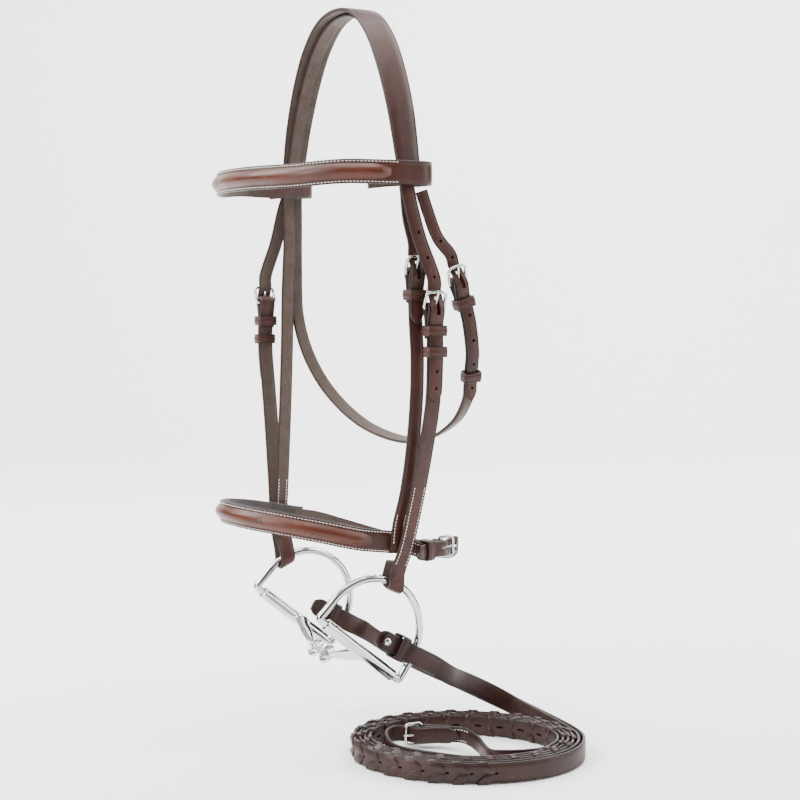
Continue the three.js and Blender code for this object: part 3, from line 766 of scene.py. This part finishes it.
NEAR_CHEEK_ROUTE = ((0.1107, 0.019, -0.275), (0.1075, 0.0195, -0.303), (0.0985, 0.0185, -0.34),
                    (0.085, 0.017, -0.385), (0.0755, 0.013, -0.422), (0.0705, 0.009, -0.44))
OFF_CHEEK_ROUTE = ((-0.1107, -0.027, -0.273), (-0.1075, -0.026, -0.303), (-0.0985, -0.027, -0.34),
                   (-0.085, -0.03, -0.385), (-0.0755, -0.032, -0.422), (-0.0705, -0.031, -0.44))
NEAR_HANGER_ROUTE = ((0.0982, 0.0095, -0.24), (0.0965, 0.012, -0.27), (0.093, 0.013, -0.305),
                     (0.086, 0.013, -0.345), (0.078, 0.012, -0.378), (0.0723, 0.009, -0.402),
                     (0.0719, 0.007, -0.423))
OFF_HANGER_ROUTE = ((-0.098, -0.009, -0.175), (-0.098, -0.011, -0.22), (-0.096, -0.013, -0.268),
                    (-0.089, -0.018, -0.32), (-0.08, -0.024, -0.362), (-0.0746, -0.028, -0.394),
                    (-0.0749, -0.029, -0.412))
BROW_PLAN = ((0.088, -0.026), (0.09, -0.002), (0.093, 0.015), (0.1005, 0.02), (0.108, 0.015),
             (0.1095, 0), (0.108, -0.022), (0.098, -0.052), (0.07, -0.08), (0.035, -0.095),
             (-0.005, -0.1), (-0.045, -0.094), (-0.078, -0.078), (-0.099, -0.054), (-0.1085, -0.028),
             (-0.1095, -0.008), (-0.108, 0.007), (-0.1005, 0.012), (-0.093, 0.007), (-0.09, -0.01),
             (-0.088, -0.032))
NOSE_PLAN = ((0.0708, 0.02, -0.421), (0.0676, 0.008, -0.417), (0.066, -0.022, -0.412),
             (0.06, -0.05, -0.405), (0.044, -0.078, -0.399), (0.018, -0.098, -0.396),
             (-0.014, -0.104, -0.396), (-0.044, -0.093, -0.399), (-0.062, -0.068, -0.404),
             (-0.0695, -0.04, -0.41), (-0.0705, -0.012, -0.416))
CHIN_STRAP_PLAN = ((-0.0666, -0.02, -0.413), (-0.0668, 0, -0.417), (-0.064, 0.024, -0.425),
                   (-0.052, 0.048, -0.433), (-0.028, 0.066, -0.438), (0.002, 0.076, -0.44),
                   (0.03, 0.078, -0.437), (0.046, 0.0755, -0.431))
THROAT_LOW = ((0.077, 0.0605, -0.319), (0.058, 0.057, -0.332), (0.036, 0.054, -0.34),
              (0.01, 0.05, -0.3435), (-0.02, 0.046, -0.342), (-0.048, 0.039, -0.335),
              (-0.07, 0.029, -0.321), (-0.086, 0.017, -0.3), (-0.096, 0.006, -0.272),
              (-0.1015, 0, -0.24), (-0.104, 0, -0.2), (-0.1035, 0, -0.16), (-0.1035, 0, -0.136))
BROW_Z = -0.13
BROW_DROP = 0.0025             # the browband's inner laps hang this much lower


def vectors(points):
    return [Vector(p) for p in points]


def arch_route(inset, drop, near_y, off_y):
    """The route over the poll, from the near leg's foot to the off leg's."""
    def leg(side, y):
        return [Vector((side * (x - inset), y * (i + 1) / 6, z - drop))
                for i, (x, z) in enumerate(ARCH[1:])]
    return [*reversed(leg(1, near_y)), Vector((0, 0, ARCH[0][1] - drop)), *leg(-1, off_y)]


def below(route, side, offset, lowest):
    return [Vector((x + side * offset, y, z)) for x, y, z in route if z > lowest]


def strap_piece(name, line, width, thickness, outer, taper=same_width):
    shape = Shape()
    add_strap(shape, line, width, thickness, outer, taper)
    return shape.build(name, GRAIN, FLESH)


BILLET_HOLES = (0.058, 0.039, 0.024, -0.046, -0.06, -0.074)
NEAR_BILLET_START = ((0.1016, -0.0005, -0.133), (0.104, 0.0015, -0.15), (0.107, 0.008, -0.178))
OFF_BILLET_START = ((-0.1016, -0.007, -0.133), (-0.104, -0.012, -0.15), (-0.107, -0.018, -0.178))


def billet(name, place, start, route, side):
    """A cheek billet: from the crown's foot through its buckle to its tip, with its holes."""
    points = [*vectors(start), *through_buckle(place), *route]
    line = fine_end(stations(points, Y_AXIS))
    piece = strap_piece(name, line, BILLET_W, LEATHER, side, pointed)
    holes = []
    for along in BILLET_HOLES:
        nearest = min(line, key=lambda s: abs(s.point.z - place.origin.z - along))
        holes.append(hole_cutter(nearest, side))
    return cut(piece, [tongue_slot(place), *holes])


def crown_taper(run, length):
    return 1 - 0.3 * abs(2 * run / length - 1) ** 3


def make_headpiece():
    crown_line = stations(arch_route(0, 0, 0.003, -0.006), Y_AXIS, 0.003)
    crown = strap_piece("headpiece_crown", crown_line, CROWN_W, CROWN_T, -1, crown_taper)
    finish_piece(crown, "head_frame", "grain", "headpiece")
    outside = LEATHER + GAP + 0.0002
    near = billet("near_cheek_billet", NEAR_CHEEK, NEAR_BILLET_START,
                  below(NEAR_CHEEK_ROUTE, 1, outside, -0.318), 1)
    finish_piece(near, "head_frame", "grain")
    off = billet("off_cheek_billet", OFF_CHEEK, OFF_BILLET_START,
                 below(OFF_CHEEK_ROUTE, -1, outside, -0.305), -1)
    finish_piece(off, "head_frame", "grain")


def make_sliphead():
    arch = arch_route(SLIP_DROP, SLIP_DROP, 0.001, -0.009)
    points = [*reversed(vectors(OFF_HANGER_ROUTE)), *reversed(arch), Vector((0.0982, 0.004, -0.163)),
              *through_buckle(HANGER), HANGER.at(-0.038, 0.005)]
    line = fine_end(stations(points, Y_AXIS, 0.003))
    piece = strap_piece("noseband_sliphead_strap", line, SLIP_W, LEATHER, 1, pointed)
    near_half = line[len(line) // 2:]
    holes = [hole_cutter(min(near_half, key=lambda s: abs(s.point.z - z)), 1)
             for z in (-0.158, -0.172, -0.186)]
    cut(piece, [tongue_slot(HANGER), *holes])
    finish_piece(piece, "head_frame", "flesh", "noseband_sliphead")
    stitches = Shape()
    # The box of white stitching that holds the off end on the noseband.
    for across in (-0.0036, 0.0036):
        add_stitch_row(stitches, line, across, -LEATHER / 2, 0.003, 0.03)
        add_stitch_row(stitches, line, across, LEATHER / 2, 0.003, 0.03)
    return finish_piece(stitches.build("off_hanger_stitching", THREAD), "head_frame", "stitching")


def cheek_foot(side, y):
    """The cheekpiece's foot, round the D-ring's wire and sewn to its own inside."""
    z = RING_C.z + math.sqrt(RING_R ** 2 - (y - RING_C.y) ** 2)
    clear = WIRE_R + 0.002 + LEATHER / 2
    turn = [Vector((side * (RING_X + clear * math.cos(a)), y, z + clear * math.sin(a)))
            for a in (math.radians(d) for d in (0, -45, -90, -135, -180))]
    return [*turn, Vector((side * (RING_X - 0.0036), y, z + 0.008)),
            Vector((side * (RING_X + 0.0015), y, z + 0.017))]


def ring_tangent(y):
    rise = math.sqrt(RING_R ** 2 - (y - RING_C.y) ** 2)
    return Vector((0, rise, -(y - RING_C.y))).normalized()


def make_cheek(prefix, place, side, route, foot_y):
    points = [*folded_end(place), *vectors(route), *cheek_foot(side, foot_y)]
    turned = ring_tangent(foot_y)
    widths = [Y_AXIS if i < len(points) - 8 else turned for i in range(len(points))]
    line = stations(points, widths)
    piece = strap_piece(f"{prefix}_cheekpiece_strap", line, CHEEK_W, LEATHER, side)
    cut(piece, [fold_slot(place)])
    finish_piece(piece, "head_frame", "grain", f"{prefix}_cheekpiece")
    stitches = Shape()
    length = line[-1].run
    for across in (-0.0044, 0.0044):
        add_stitch_row(stitches, line, across, side * LEATHER / 2, length - 0.122, length - 0.052)
        add_stitch_row(stitches, line, across, side * LEATHER / 2, 0.047, 0.062)
    finish_piece(stitches.build(f"{prefix}_cheek_stitching", THREAD), "head_frame", "stitching")
    make_keeper(f"{prefix}_cheek_keeper", place, KEEPER_AT, CHEEK_W, STACK_LOW, STACK_HIGH, "head_frame")
    make_keeper(f"{prefix}_cheek_runner", place, RUNNER_AT, CHEEK_W, -0.0004, STACK_HIGH + GAP,
                f"{prefix}_cheek_loop")
    make_buckle(f"{prefix}_cheek", place, CHEEK_W, "head_frame")


def make_hanger():
    line = stations([*folded_end(HANGER), *vectors(NEAR_HANGER_ROUTE)], Y_AXIS)
    piece = strap_piece("near_hanger_strap", line, SLIP_W, LEATHER, 1)
    cut(piece, [fold_slot(HANGER)])
    finish_piece(piece, "head_frame", "grain", "near_noseband_hanger")
    stitches = Shape()
    length = line[-1].run
    for across in (-0.0037, 0.0037):
        add_stitch_row(stitches, line, across, LEATHER / 2, length - 0.03, length - 0.003)
    finish_piece(stitches.build("near_hanger_stitching", THREAD), "head_frame", "stitching")
    make_keeper("hanger_keeper", HANGER, KEEPER_AT, SLIP_W, STACK_LOW, STACK_HIGH, "head_frame")
    make_buckle("hanger", HANGER, SLIP_W, "head_frame")


# ---- keepers and buckles -----------------------------------------------------
def rounded_box(half_x, low, high, radius, per_corner=5):
    """Points round a box with rounded corners, as (across, other)."""
    centres = ((half_x - radius, high - radius, 0), (-half_x + radius, high - radius, 90),
               (-half_x + radius, low + radius, 180), (half_x - radius, low + radius, 270))
    return [(x + radius * math.cos(a), y + radius * math.sin(a)) for x, y, start in centres
            for a in (math.radians(start + 90 * k / (per_corner - 1)) for k in range(per_corner))]


def make_keeper(node, place, along, strap_width, low, high, body):
    """A closed leather loop round the straps, with rounded edges."""
    inner_half = strap_width / 2 + 0.0007
    outline = rounded_box(inner_half + KEEPER_WALL / 2, low - KEEPER_WALL / 2, high + KEEPER_WALL / 2,
                          0.002)
    middle = Vector((0, (low + high) / 2))
    rings = []
    count = len(outline)
    section = strap_section(KEEPER_L, KEEPER_WALL, 1)
    for i, (x, off) in enumerate(outline):
        before, after = Vector(outline[i - 1]), Vector(outline[(i + 1) % count])
        run = (after - before).normalized()
        normal = Vector((run.y, -run.x))
        if normal.dot(Vector((x, off)) - middle) < 0:
            normal = -normal
        rings.append([place.at(along + c, off + normal.y * o, x + normal.x * o) for c, o, _ in section])
    shape = Shape()
    shape.tube(rings, [e for _, _, e in section], 0, True)
    piece = shape.build(f"{node}_loop", GRAIN if body != "reins" else REIN)
    finish_piece(piece, body, "grain" if body != "reins" else "rein", node)


def tilted(place, across, along, off):
    """A point in a buckle's own frame, which is tilted about its bar."""
    return place.at(along * math.cos(FRAME_TILT) - off * math.sin(FRAME_TILT),
                    along * math.sin(FRAME_TILT) + off * math.cos(FRAME_TILT), across)


def make_buckle(prefix, place, strap_width, body):
    """A polished wire buckle: a rounded frame, and a tongue that hooks round its bar."""
    half = strap_width / 2 + 0.002
    outline = rounded_box(half, 0.0, FRAME_L, 0.0032, 7)
    points = [tilted(place, x, y, 0.00025 * math.sin(math.pi * y / FRAME_L)) for x, y in outline]
    shape = Shape()
    dense = []
    for a, b in zip(points, points[1:] + points[:1]):
        steps = max(1, round((b - a).length / 0.0012))
        dense += [a.lerp(b, k / steps) for k in range(steps)]
    add_wire(shape, dense, BUCKLE_WIRE_R, 14, True, place.out)
    frame_piece = shape.build(f"{prefix}_buckle", STEEL)
    finish_piece(frame_piece, body, "steel", f"{prefix}_buckle_frame")
    tongue = Shape()
    lift = BUCKLE_WIRE_R + TONGUE_R + 0.0001
    hook = [tilted(place, 0, lift * math.cos(a), lift * math.sin(a)) for a in
            (math.radians(d) for d in (300, 260, 220, 180, 140, 110, 90))]
    rise = [tilted(place, 0, along, off) for along, off in
            ((0.003, 0.00235), (0.006, 0.0022), (0.009, 0.00215), (0.012, 0.0023), (0.0145, 0.00235),
             (0.0164, 0.0019))]
    path = hook + rise
    radii = [TONGUE_R * 0.85] * len(hook) + [TONGUE_R * s for s in (0.95, 0.95, 0.9, 0.86, 0.8, 0.5)]
    fine = [p for p, _ in curve_points(path, 0.0012, 2)]
    last = len(radii) - 1
    spread = [radii[min(int(t), last)] * (1 - t % 1) + radii[min(int(t) + 1, last)] * (t % 1)
              for _, t in curve_points(path, 0.0012, 2)]
    add_wire(tongue, fine, spread, 12, False, place.side)
    tongue_piece = tongue.build(f"{prefix}_tongue_wire", STEEL)
    finish_piece(tongue_piece, f"{prefix}_tongue", "steel", f"{prefix}_buckle_tongue")


# ---- browband and noseband ------------------------------------------------------
def brow_z(x):
    return BROW_Z - (BROW_DROP if abs(x) < 0.09 else 0)


def beside(points, offset):
    """A route moved sideways in plan, to its left as it runs."""
    out = []
    for i, point in enumerate(points):
        run = points[min(i + 1, len(points) - 1)] - points[max(i - 1, 0)]
        run.z = 0
        run.normalize()
        out.append(point + Vector((-run.y, run.x, 0)) * offset)
    return out


ROLL_H = 0.0038
ROLL_SIDES = 18


def roll_taper(run, length):
    """A raised roll runs out to nothing at both ends."""
    left = min(run, length - run) / 0.015
    return max(0.06, math.sin(min(left, 1) * math.pi / 2) ** 0.8)


def make_roll(name, node, band_line, start, end, outer, base, body):
    """The raised roll along the middle of a band: a dome that runs out at both ends."""
    line = [station_at(band_line, start + (end - start) * i / 150) for i in range(151)]
    length = end - start
    shape = Shape()
    rings = []
    for s in line:
        grow = roll_taper(s.run - start, length)
        half = ROLL_W / 2 * (0.45 + 0.55 * grow)
        shares = [1 - 2 * k / ROLL_SIDES for k in range(ROLL_SIDES + 1)]
        outline = [(half * x, ROLL_H * grow * (1 - abs(x) ** 2.2) ** 1.15) for x in shares]
        outline += [(-half * 0.9, -0.0006), (half * 0.9, -0.0006)]
        rings.append([s.at(c, (base + o) * outer) for c, o in outline])
    # The roll's foot, where it meets the band, takes high edge values: painted shade at the join.
    shape.tube(rings, [0.9, 0.5, *[0.0] * (ROLL_SIDES - 3), 0.5, 0.9, 1.0, 1.0])
    piece = shape.build(name, ROLL_LEATHER_HIGHLIT)
    return finish_piece(piece, body, "padded", node)


def make_browband():
    points = [Vector((x, y, brow_z(x))) for x, y in BROW_PLAN]
    line = stations(points, Z_AXIS, 0.002)
    thick = 0.003
    piece = strap_piece("browband_strap", line, BAND_W, thick, -1)
    finish_piece(piece, "browband_band", "grain", "browband")
    starts = [s.run for s in line if s.point.y < -0.014 and abs(s.point.x) > 0.095 or s.point.y < -0.06]
    first, last = min(starts) + 0.003, max(starts) - 0.003
    make_roll("browband_padded_roll", "browband_roll", line, first, last, -1, thick / 2, "browband_band")
    stitches = Shape()
    for across in (-BAND_STITCH, BAND_STITCH):
        add_stitch_row(stitches, line, across, -thick / 2, first - 0.006, last + 0.006)
    finish_piece(stitches.build("browband_stitching", THREAD), "browband_band", "stitching")


def nose_width(run, length):
    return max(CHIN_W / BAND_W, min(1, CHIN_W / BAND_W + (run - 0.062) / 0.06))


def make_noseband():
    points = [*folded_end(CHIN), *vectors(NOSE_PLAN)]
    line = stations(points, Z_AXIS)
    piece = strap_piece("noseband_strap", line, BAND_W, LEATHER, -1, nose_width)
    cut(piece, [fold_slot(CHIN)])
    finish_piece(piece, "head_frame", "grain", "noseband")
    front = [s.run for s in line if s.point.y < -0.012]
    first, last = min(front), max(front)
    make_roll("noseband_padded_roll", "noseband_roll", line, first, last, -1, LEATHER / 2, "head_frame")
    make_lining(line, first, last)
    stitches = Shape()
    for across in (-BAND_STITCH, BAND_STITCH):
        add_stitch_row(stitches, line, across, -LEATHER / 2, first - 0.016, last + 0.012)
    for across in (-0.0038, 0.0038):
        add_stitch_row(stitches, line, across, -LEATHER / 2, 0.044, 0.066)
    finish_piece(stitches.build("noseband_stitching", THREAD), "head_frame", "stitching")
    make_keeper("chin_keeper", CHIN, KEEPER_AT, CHIN_W, STACK_LOW, STACK_HIGH, "head_frame")
    make_buckle("chin", CHIN, CHIN_W, "head_frame")


LINING_W = 0.0186
LINING_T = 0.004


def make_lining(band_line, first, last):
    """Soft padding behind the noseband, a little wider than it."""
    line = [station_at(band_line, first + (last - first) * i / 130) for i in range(131)]
    shape = Shape()
    rings = []
    for s in line:
        grow = roll_taper(s.run - first, last - first) ** 0.5
        outline = []
        for k in range(20):
            a = 2 * math.pi * k / 20
            c, o = math.cos(a), math.sin(a)
            outline.append((math.copysign(abs(c) ** 0.7, c) * LINING_W / 2 * grow,
                            math.copysign(abs(o) ** 0.8, o) * LINING_T / 2 * grow))
        rings.append([s.at(c, LEATHER / 2 + LINING_T / 2 - 0.0002 + o) for c, o in outline])
    shape.tube(rings, 0.0)
    piece = shape.build("noseband_padding", LINING)
    return finish_piece(piece, "head_frame", "lining", "noseband_lining")


def make_chin_strap():
    points = [*vectors(CHIN_STRAP_PLAN), *through_buckle(CHIN), CHIN.at(-0.031, 0.0072)]
    line = fine_end(stations(points, Z_AXIS))
    piece = strap_piece("chin_strap_leather", line, CHIN_W, LEATHER, -1, pointed)
    length = line[-1].run
    holes = [hole_cutter(station_at(line, length - back), -1) for back in (0.052, 0.068, 0.084, 0.1, 0.116)]
    cut(piece, [tongue_slot(CHIN), *holes])
    finish_piece(piece, "head_frame", "grain", "chin_strap")


# ---- throatlatch ------------------------------------------------------------------
def make_throat():
    layer = LEATHER + GAP + 0.0002
    points = [*vectors(((0.1036, 0.0115, -0.143), (0.1045, 0.0165, -0.158), (0.1052, 0.025, -0.178))),
              *through_buckle(THROAT),
              Vector((0.1085, 0.0523, -0.243)),
              *[THROAT_RUNNER.at(along, layer) for along in (0.019, 0.009, -0.008)],
              THROAT_RUNNER.at(-0.02, layer + 0.001)]
    line = fine_end(stations(points, THROAT.side))
    piece = strap_piece("throat_billet_strap", line, THROAT_W - 0.001, LEATHER, 1, pointed)
    length = line[-1].run
    holes = [hole_cutter(station_at(line, length - back), 1)
             for back in (0.011, 0.031, 0.05, 0.07, 0.118, 0.134)]
    cut(piece, [tongue_slot(THROAT), *holes])
    finish_piece(piece, "throat_assembly", "grain", "throat_billet")
    points = [*folded_end(THROAT), Vector((0.1053, 0.0523, -0.243)),
              *[THROAT_RUNNER.at(along, 0) for along in (0.019, 0.009, -0.009, -0.017)],
              *vectors(THROAT_LOW)]
    line = stations(points, THROAT.side)
    latch = strap_piece("throatlatch_strap", line, THROAT_W, LEATHER, 1)
    cut(latch, [fold_slot(THROAT)])
    finish_piece(latch, "throat_assembly", "grain", "throatlatch")
    make_keeper("throat_keeper", THROAT, KEEPER_AT, THROAT_W, STACK_LOW, STACK_HIGH, "throat_assembly")
    make_keeper("throat_runner", THROAT_RUNNER, 0.0, THROAT_W, -0.0021, 0.0054, "throat_loop")
    make_buckle("throat", THROAT, THROAT_W, "throat_assembly")


# ---- D-ring snaffle ---------------------------------------------------------------
SAG = 0.014
EYE_X = 0.011
EYE_R = 0.0064
EYE_WIRE = 0.0022
LINK_EYE_R = 0.0054
ARM_C = BAR_MID + BAR_DIR * 0.007
EYE_C = ARM_C - RING_OUT * SAG
SLEEVE_L = (BAR_FOOT - BAR_TOP).length - 0.015
VOXEL = 0.0005


def make_d_ring(prefix, side):
    """A closed D of round wire: the straight bar, two short sides and the half circle."""
    shift = X_AXIS * (side * RING_X)
    out_angle = math.atan2(RING_OUT.z, RING_OUT.y)
    arc = [RING_C + Vector((0, math.cos(a), math.sin(a))) * RING_R
           for a in (out_angle + math.pi * (0.5 - i / 48) for i in range(49))]
    corner = 0.0024
    top = [BAR_TOP + BAR_DIR * corner, BAR_TOP + (BAR_DIR + RING_OUT) * corner * 0.3,
           BAR_TOP + RING_OUT * corner]
    foot = [BAR_FOOT + RING_OUT * corner, BAR_FOOT + (RING_OUT - BAR_DIR) * corner * 0.3,
            BAR_FOOT - BAR_DIR * corner]
    sides = [BAR_TOP.lerp(arc[0], t) for t in (0.35, 0.6, 0.85)]
    back = [arc[-1].lerp(BAR_FOOT, t) for t in (0.15, 0.4, 0.65)]
    bar = [BAR_FOOT.lerp(BAR_TOP, t) for t in (0.1, 0.3, 0.5, 0.7, 0.9)]
    outline = [p + shift for p in (*top, *sides, *arc, *back, *foot, *bar)]
    radii = [WIRE_R] * (len(outline) - len(bar)) + [BAR_R] * len(bar)
    shape = Shape()
    add_wire(shape, outline, radii, 20, True, X_AXIS)
    finish_piece(shape.build(f"{prefix}_d_ring_wire", STEEL), "bit", "steel", f"{prefix}_d_ring")


def voxelled(piece, size, smoothing=6):
    """Melts a piece's overlapping parts into one skin with soft joins."""
    remesh = piece.modifiers.new("melt", "REMESH")
    remesh.mode = "VOXEL"
    remesh.voxel_size = size
    smooth = piece.modifiers.new("smooth", "SMOOTH")
    smooth.iterations = smoothing
    smooth.factor = 0.6
    materials = list(piece.data.materials)
    applied(piece)
    piece.data.materials.clear()
    for material in materials:
        piece.data.materials.append(material)
    piece.data.polygons.foreach_set("material_index", [0] * len(piece.data.polygons))
    piece.data.polygons.foreach_set("use_smooth", [True] * len(piece.data.polygons))
    return piece


def make_arm(prefix, side):
    """One half of the mouthpiece: a tapered flattened arm from its sleeve to its eye."""
    body = Shape()
    start = Vector((side * (RING_X - SLEEVE_R + 0.0006), ARM_C.y, ARM_C.z))
    end = Vector((side * (EYE_X + EYE_R), EYE_C.y, EYE_C.z))
    along = end - start
    profile = [(0.0, 0.0), (0.009, 0.0), (0.0079, 0.06), (0.0072, 0.16), (0.0068, 0.3), (0.0064, 0.45),
               (0.0057, 0.6), (0.0048, 0.74), (0.0039, 0.87), (0.0031, 0.97), (0.0, 1.0)]
    add_lathe(body, [(r, h * along.length) for r, h in profile], start, along, BAR_DIR, 28)
    flatten(body, start, along.cross(BAR_DIR).normalized(), 0.62)
    add_torus(body, Vector((side * EYE_X, EYE_C.y, EYE_C.z)), BAR_DIR, EYE_R, EYE_WIRE)
    arm = voxelled(body.build(f"{prefix}_mouth_arm", STEEL), VOXEL)
    finish_piece(arm, f"{prefix}_arm", "steel", f"{prefix}_mouthpiece_arm")
    sleeve = Shape()
    centre = BAR_MID + X_AXIS * (side * RING_X)
    h = SLEEVE_L / 2
    wall = [(SLEEVE_BORE_R, -h + 0.0005), (SLEEVE_BORE_R + 0.0005, -h), (SLEEVE_R - 0.0006, -h),
            (SLEEVE_R, -h + 0.0006), (SLEEVE_R, h - 0.0006), (SLEEVE_R - 0.0006, h),
            (SLEEVE_BORE_R + 0.0005, h), (SLEEVE_BORE_R, h - 0.0005)]
    across = X_AXIS
    other = BAR_DIR.cross(across)
    rings = [ring_points(centre + BAR_DIR * z, across, other, r, 28) for r, z in wall]
    sleeve.tube(rings, 0.0, 0, True)
    finish_piece(sleeve.build(f"{prefix}_mouth_sleeve", STEEL), f"{prefix}_arm", "steel")


def flatten(shape, origin, direction, share):
    """Squashes the points made so far towards a plane through origin."""
    shape.points = [p - direction * ((p - origin).dot(direction) * (1 - share)) for p in shape.points]


def make_link():
    """The short link between the arms: two round eyes side by side, standing across the arms' eyes."""
    shape = Shape()
    for side in (1, -1):
        centre = Vector((side * (EYE_X - LINK_EYE_R), EYE_C.y, EYE_C.z))
        add_torus(shape, centre, RING_OUT, LINK_EYE_R, EYE_WIRE - 0.0003, 36, 12)
    link = voxelled(shape.build("mouth_link", LINK_STEEL), VOXEL, 3)
    finish_piece(link, "link", "link_steel", "mouthpiece_link")


# ---- the rest of the reins -----------------------------------------------------------
def make_rein_fittings(prefix, place):
    """The billet that laps over the ring's outside, its keeper and the hook stud."""
    points = [place.at(*p) for p in ((TAB - 0.004, 0.0015), (0.02, 0.0019), (0.014, 0.0026),
                                     (0.005, 0.0056), (-0.006, 0.0056), (-0.016, 0.0032), (-0.026, 0.0013))]
    line = stations(points, place.side, 0.002)
    shape = Shape()
    add_strap(shape, line, REIN_W - 0.001, REIN_T, 1, rein_tab_taper)
    finish_piece(shape.build(f"{prefix}_rein_hook_billet", REIN, REIN), "reins", "rein",
                 f"{prefix}_rein_billet")
    make_keeper(f"{prefix}_rein_keeper", place, 0.015, REIN_W, -0.007, 0.007, "reins")
    stud = Shape()
    base = place.at(TAB - 0.006, 0.0026)
    profile = ((0, -0.001), (0.0014, -0.001), (0.0013, 0.0018), (0.0026, 0.0026), (0.003, 0.0033),
               (0.0026, 0.0041), (0.0015, 0.0046), (0, 0.0048))
    add_lathe(stud, profile, base, place.out)
    finish_piece(stud.build(f"{prefix}_hook_stud", STEEL), "reins", "steel", f"{prefix}_rein_hook_stud")


def rein_tab_taper(run, length):
    left = min(run / 0.007, 1)
    return 0.5 + 0.5 * math.sin(left * math.pi / 2)


# ---- floor, light and the whole -------------------------------------------------------
def make_floor():
    """A pale floor that turns up into a backdrop behind the bridle."""
    n = Nodes("pale_floor")
    n.set(Base_Color=n.mix(n.noise(3, 2), (0.88, 0.88, 0.875), (0.90, 0.90, 0.895)), Roughness=0.7)
    ground = FLOOR_Z - 0.0004
    half, back, bend, height = 3.0, 2.4, 0.6, 3.4
    profile = [(-3.0, 0.0)]
    profile += [(back - bend + bend * math.sin(a), bend - bend * math.cos(a))
                for a in (math.radians(7.5 * k) for k in range(13))]
    profile.append((back, height))
    right = Vector((0.4695, 0.8829, 0))
    mesh = bpy.data.meshes.new("floor")
    points = []
    for depth, rise in profile:
        for side in (-half, half):
            points.append(tuple(-VIEW_BACK * depth + right * side + Z_AXIS * (ground + rise)))
    faces = [(2 * i, 2 * i + 1, 2 * i + 3, 2 * i + 2) for i in range(len(profile) - 1)]
    mesh.from_pydata(points, [], faces)
    mesh.materials.append(n.material)
    mesh.polygons.foreach_set("use_smooth", [True] * len(mesh.polygons))
    floor = bpy.data.objects.new("floor", mesh)
    bpy.context.collection.objects.link(floor)


def area_light(name, place, aim, size, power, tint=(1, 1, 1)):
    data = bpy.data.lights.new(name, "AREA")
    data.shape = "RECTANGLE"
    data.size, data.size_y = size
    data.energy = power
    data.color = tint
    light = bpy.data.objects.new(name, data)
    light.location = place
    light.rotation_euler = (Vector(aim) - Vector(place)).to_track_quat("-Z", "Y").to_euler()
    bpy.context.collection.objects.link(light)


def make_world():
    """A studio round the object: grey below, a dark band at eye height, white above."""
    world = bpy.context.scene.world or bpy.data.worlds.new("studio")
    bpy.context.scene.world = world
    world.use_nodes = True
    tree = world.node_tree
    background = tree.nodes["Background"]
    place = tree.nodes.new("ShaderNodeTexCoord")
    parts = tree.nodes.new("ShaderNodeSeparateXYZ")
    ramp = tree.nodes.new("ShaderNodeValToRGB")
    tree.links.new(place.outputs["Generated"], parts.inputs["Vector"])
    lift = tree.nodes.new("ShaderNodeMapRange")
    lift.inputs["From Min"].default_value = -1
    tree.links.new(parts.outputs["Z"], lift.inputs["Value"])
    tree.links.new(lift.outputs["Result"], ramp.inputs["Fac"])
    stops = ramp.color_ramp.elements
    stops[0].position, stops[0].color = 0.0, (0.5, 0.5, 0.5, 1)
    stops[1].position, stops[1].color = 1.0, (0.95, 0.95, 0.95, 1)
    for position, level in ((0.40, 0.35), (0.47, 0.04), (0.62, 0.05), (0.74, 0.7)):
        stops.new(position).color = (level, level, level, 1)
    tree.links.new(ramp.outputs["Color"], background.inputs["Color"])
    background.inputs["Strength"].default_value = 0.9


def make_lights():
    make_world()
    middle = (0, 0, -0.3)
    area_light("key", (0.45, -1.35, 0.35), middle, (0.5, 1.6), 34)
    area_light("fill", (0.95, 1.05, 0.1), middle, (0.35, 1.4), 14)
    area_light("top", (0.2, 0.0, 1.3), middle, (1.2, 1.2), 34)
    area_light("backdrop_left", (-0.9, -1.0, 1.0), (-2.0, 0.6, -0.4), (1.5, 1.5), 100)
    area_light("backdrop_right", (-0.2, 1.5, 1.0), (-1.8, 1.4, -0.4), (1.5, 1.5), 100)


def make_reins_whole():
    finish_piece(near_rein, "reins", "rein", "near_rein_lead", "near_rein_end", "rein_coil")
    finish_piece(off_rein, "reins", "rein", "off_rein_lead", "off_rein_end")
    make_lacing("near_rein_lacing", near_line, -1)
    make_lacing("off_rein_lacing", off_line, -1)
    for prefix, place in (("near", NEAR_REIN_PLACE), ("off", OFF_REIN_PLACE)):
        make_rein_fittings(prefix, place)
    make_buckle("rein", REIN_BUCKLE, REIN_END_W, "reins")
    length = near_line[-1].run
    stitches = Shape()
    for across in (-0.0044, 0.0044):
        add_stitch_row(stitches, near_line, across, -REIN_T / 2, length - 0.075, length - 0.042)
    finish_piece(stitches.build("rein_end_stitching", THREAD), "reins", "stitching")
    for piece, line, place in ((near_rein, near_line, NEAR_REIN_PLACE),
                               (off_rein, off_line, OFF_REIN_PLACE)):
        print("rein length", piece.name, round(line[-1].run, 3))


make_reins_whole()
make_headpiece()
make_sliphead()
make_cheek("near", NEAR_CHEEK, 1, NEAR_CHEEK_ROUTE, 0.008)
make_cheek("off", OFF_CHEEK, -1, OFF_CHEEK_ROUTE, -0.03)
make_hanger()
make_browband()
make_noseband()
make_chin_strap()
make_throat()
for prefix, side in (("near", 1), ("off", -1)):
    make_d_ring(prefix, side)
    make_arm(prefix, side)
make_link()
make_floor()
make_lights()
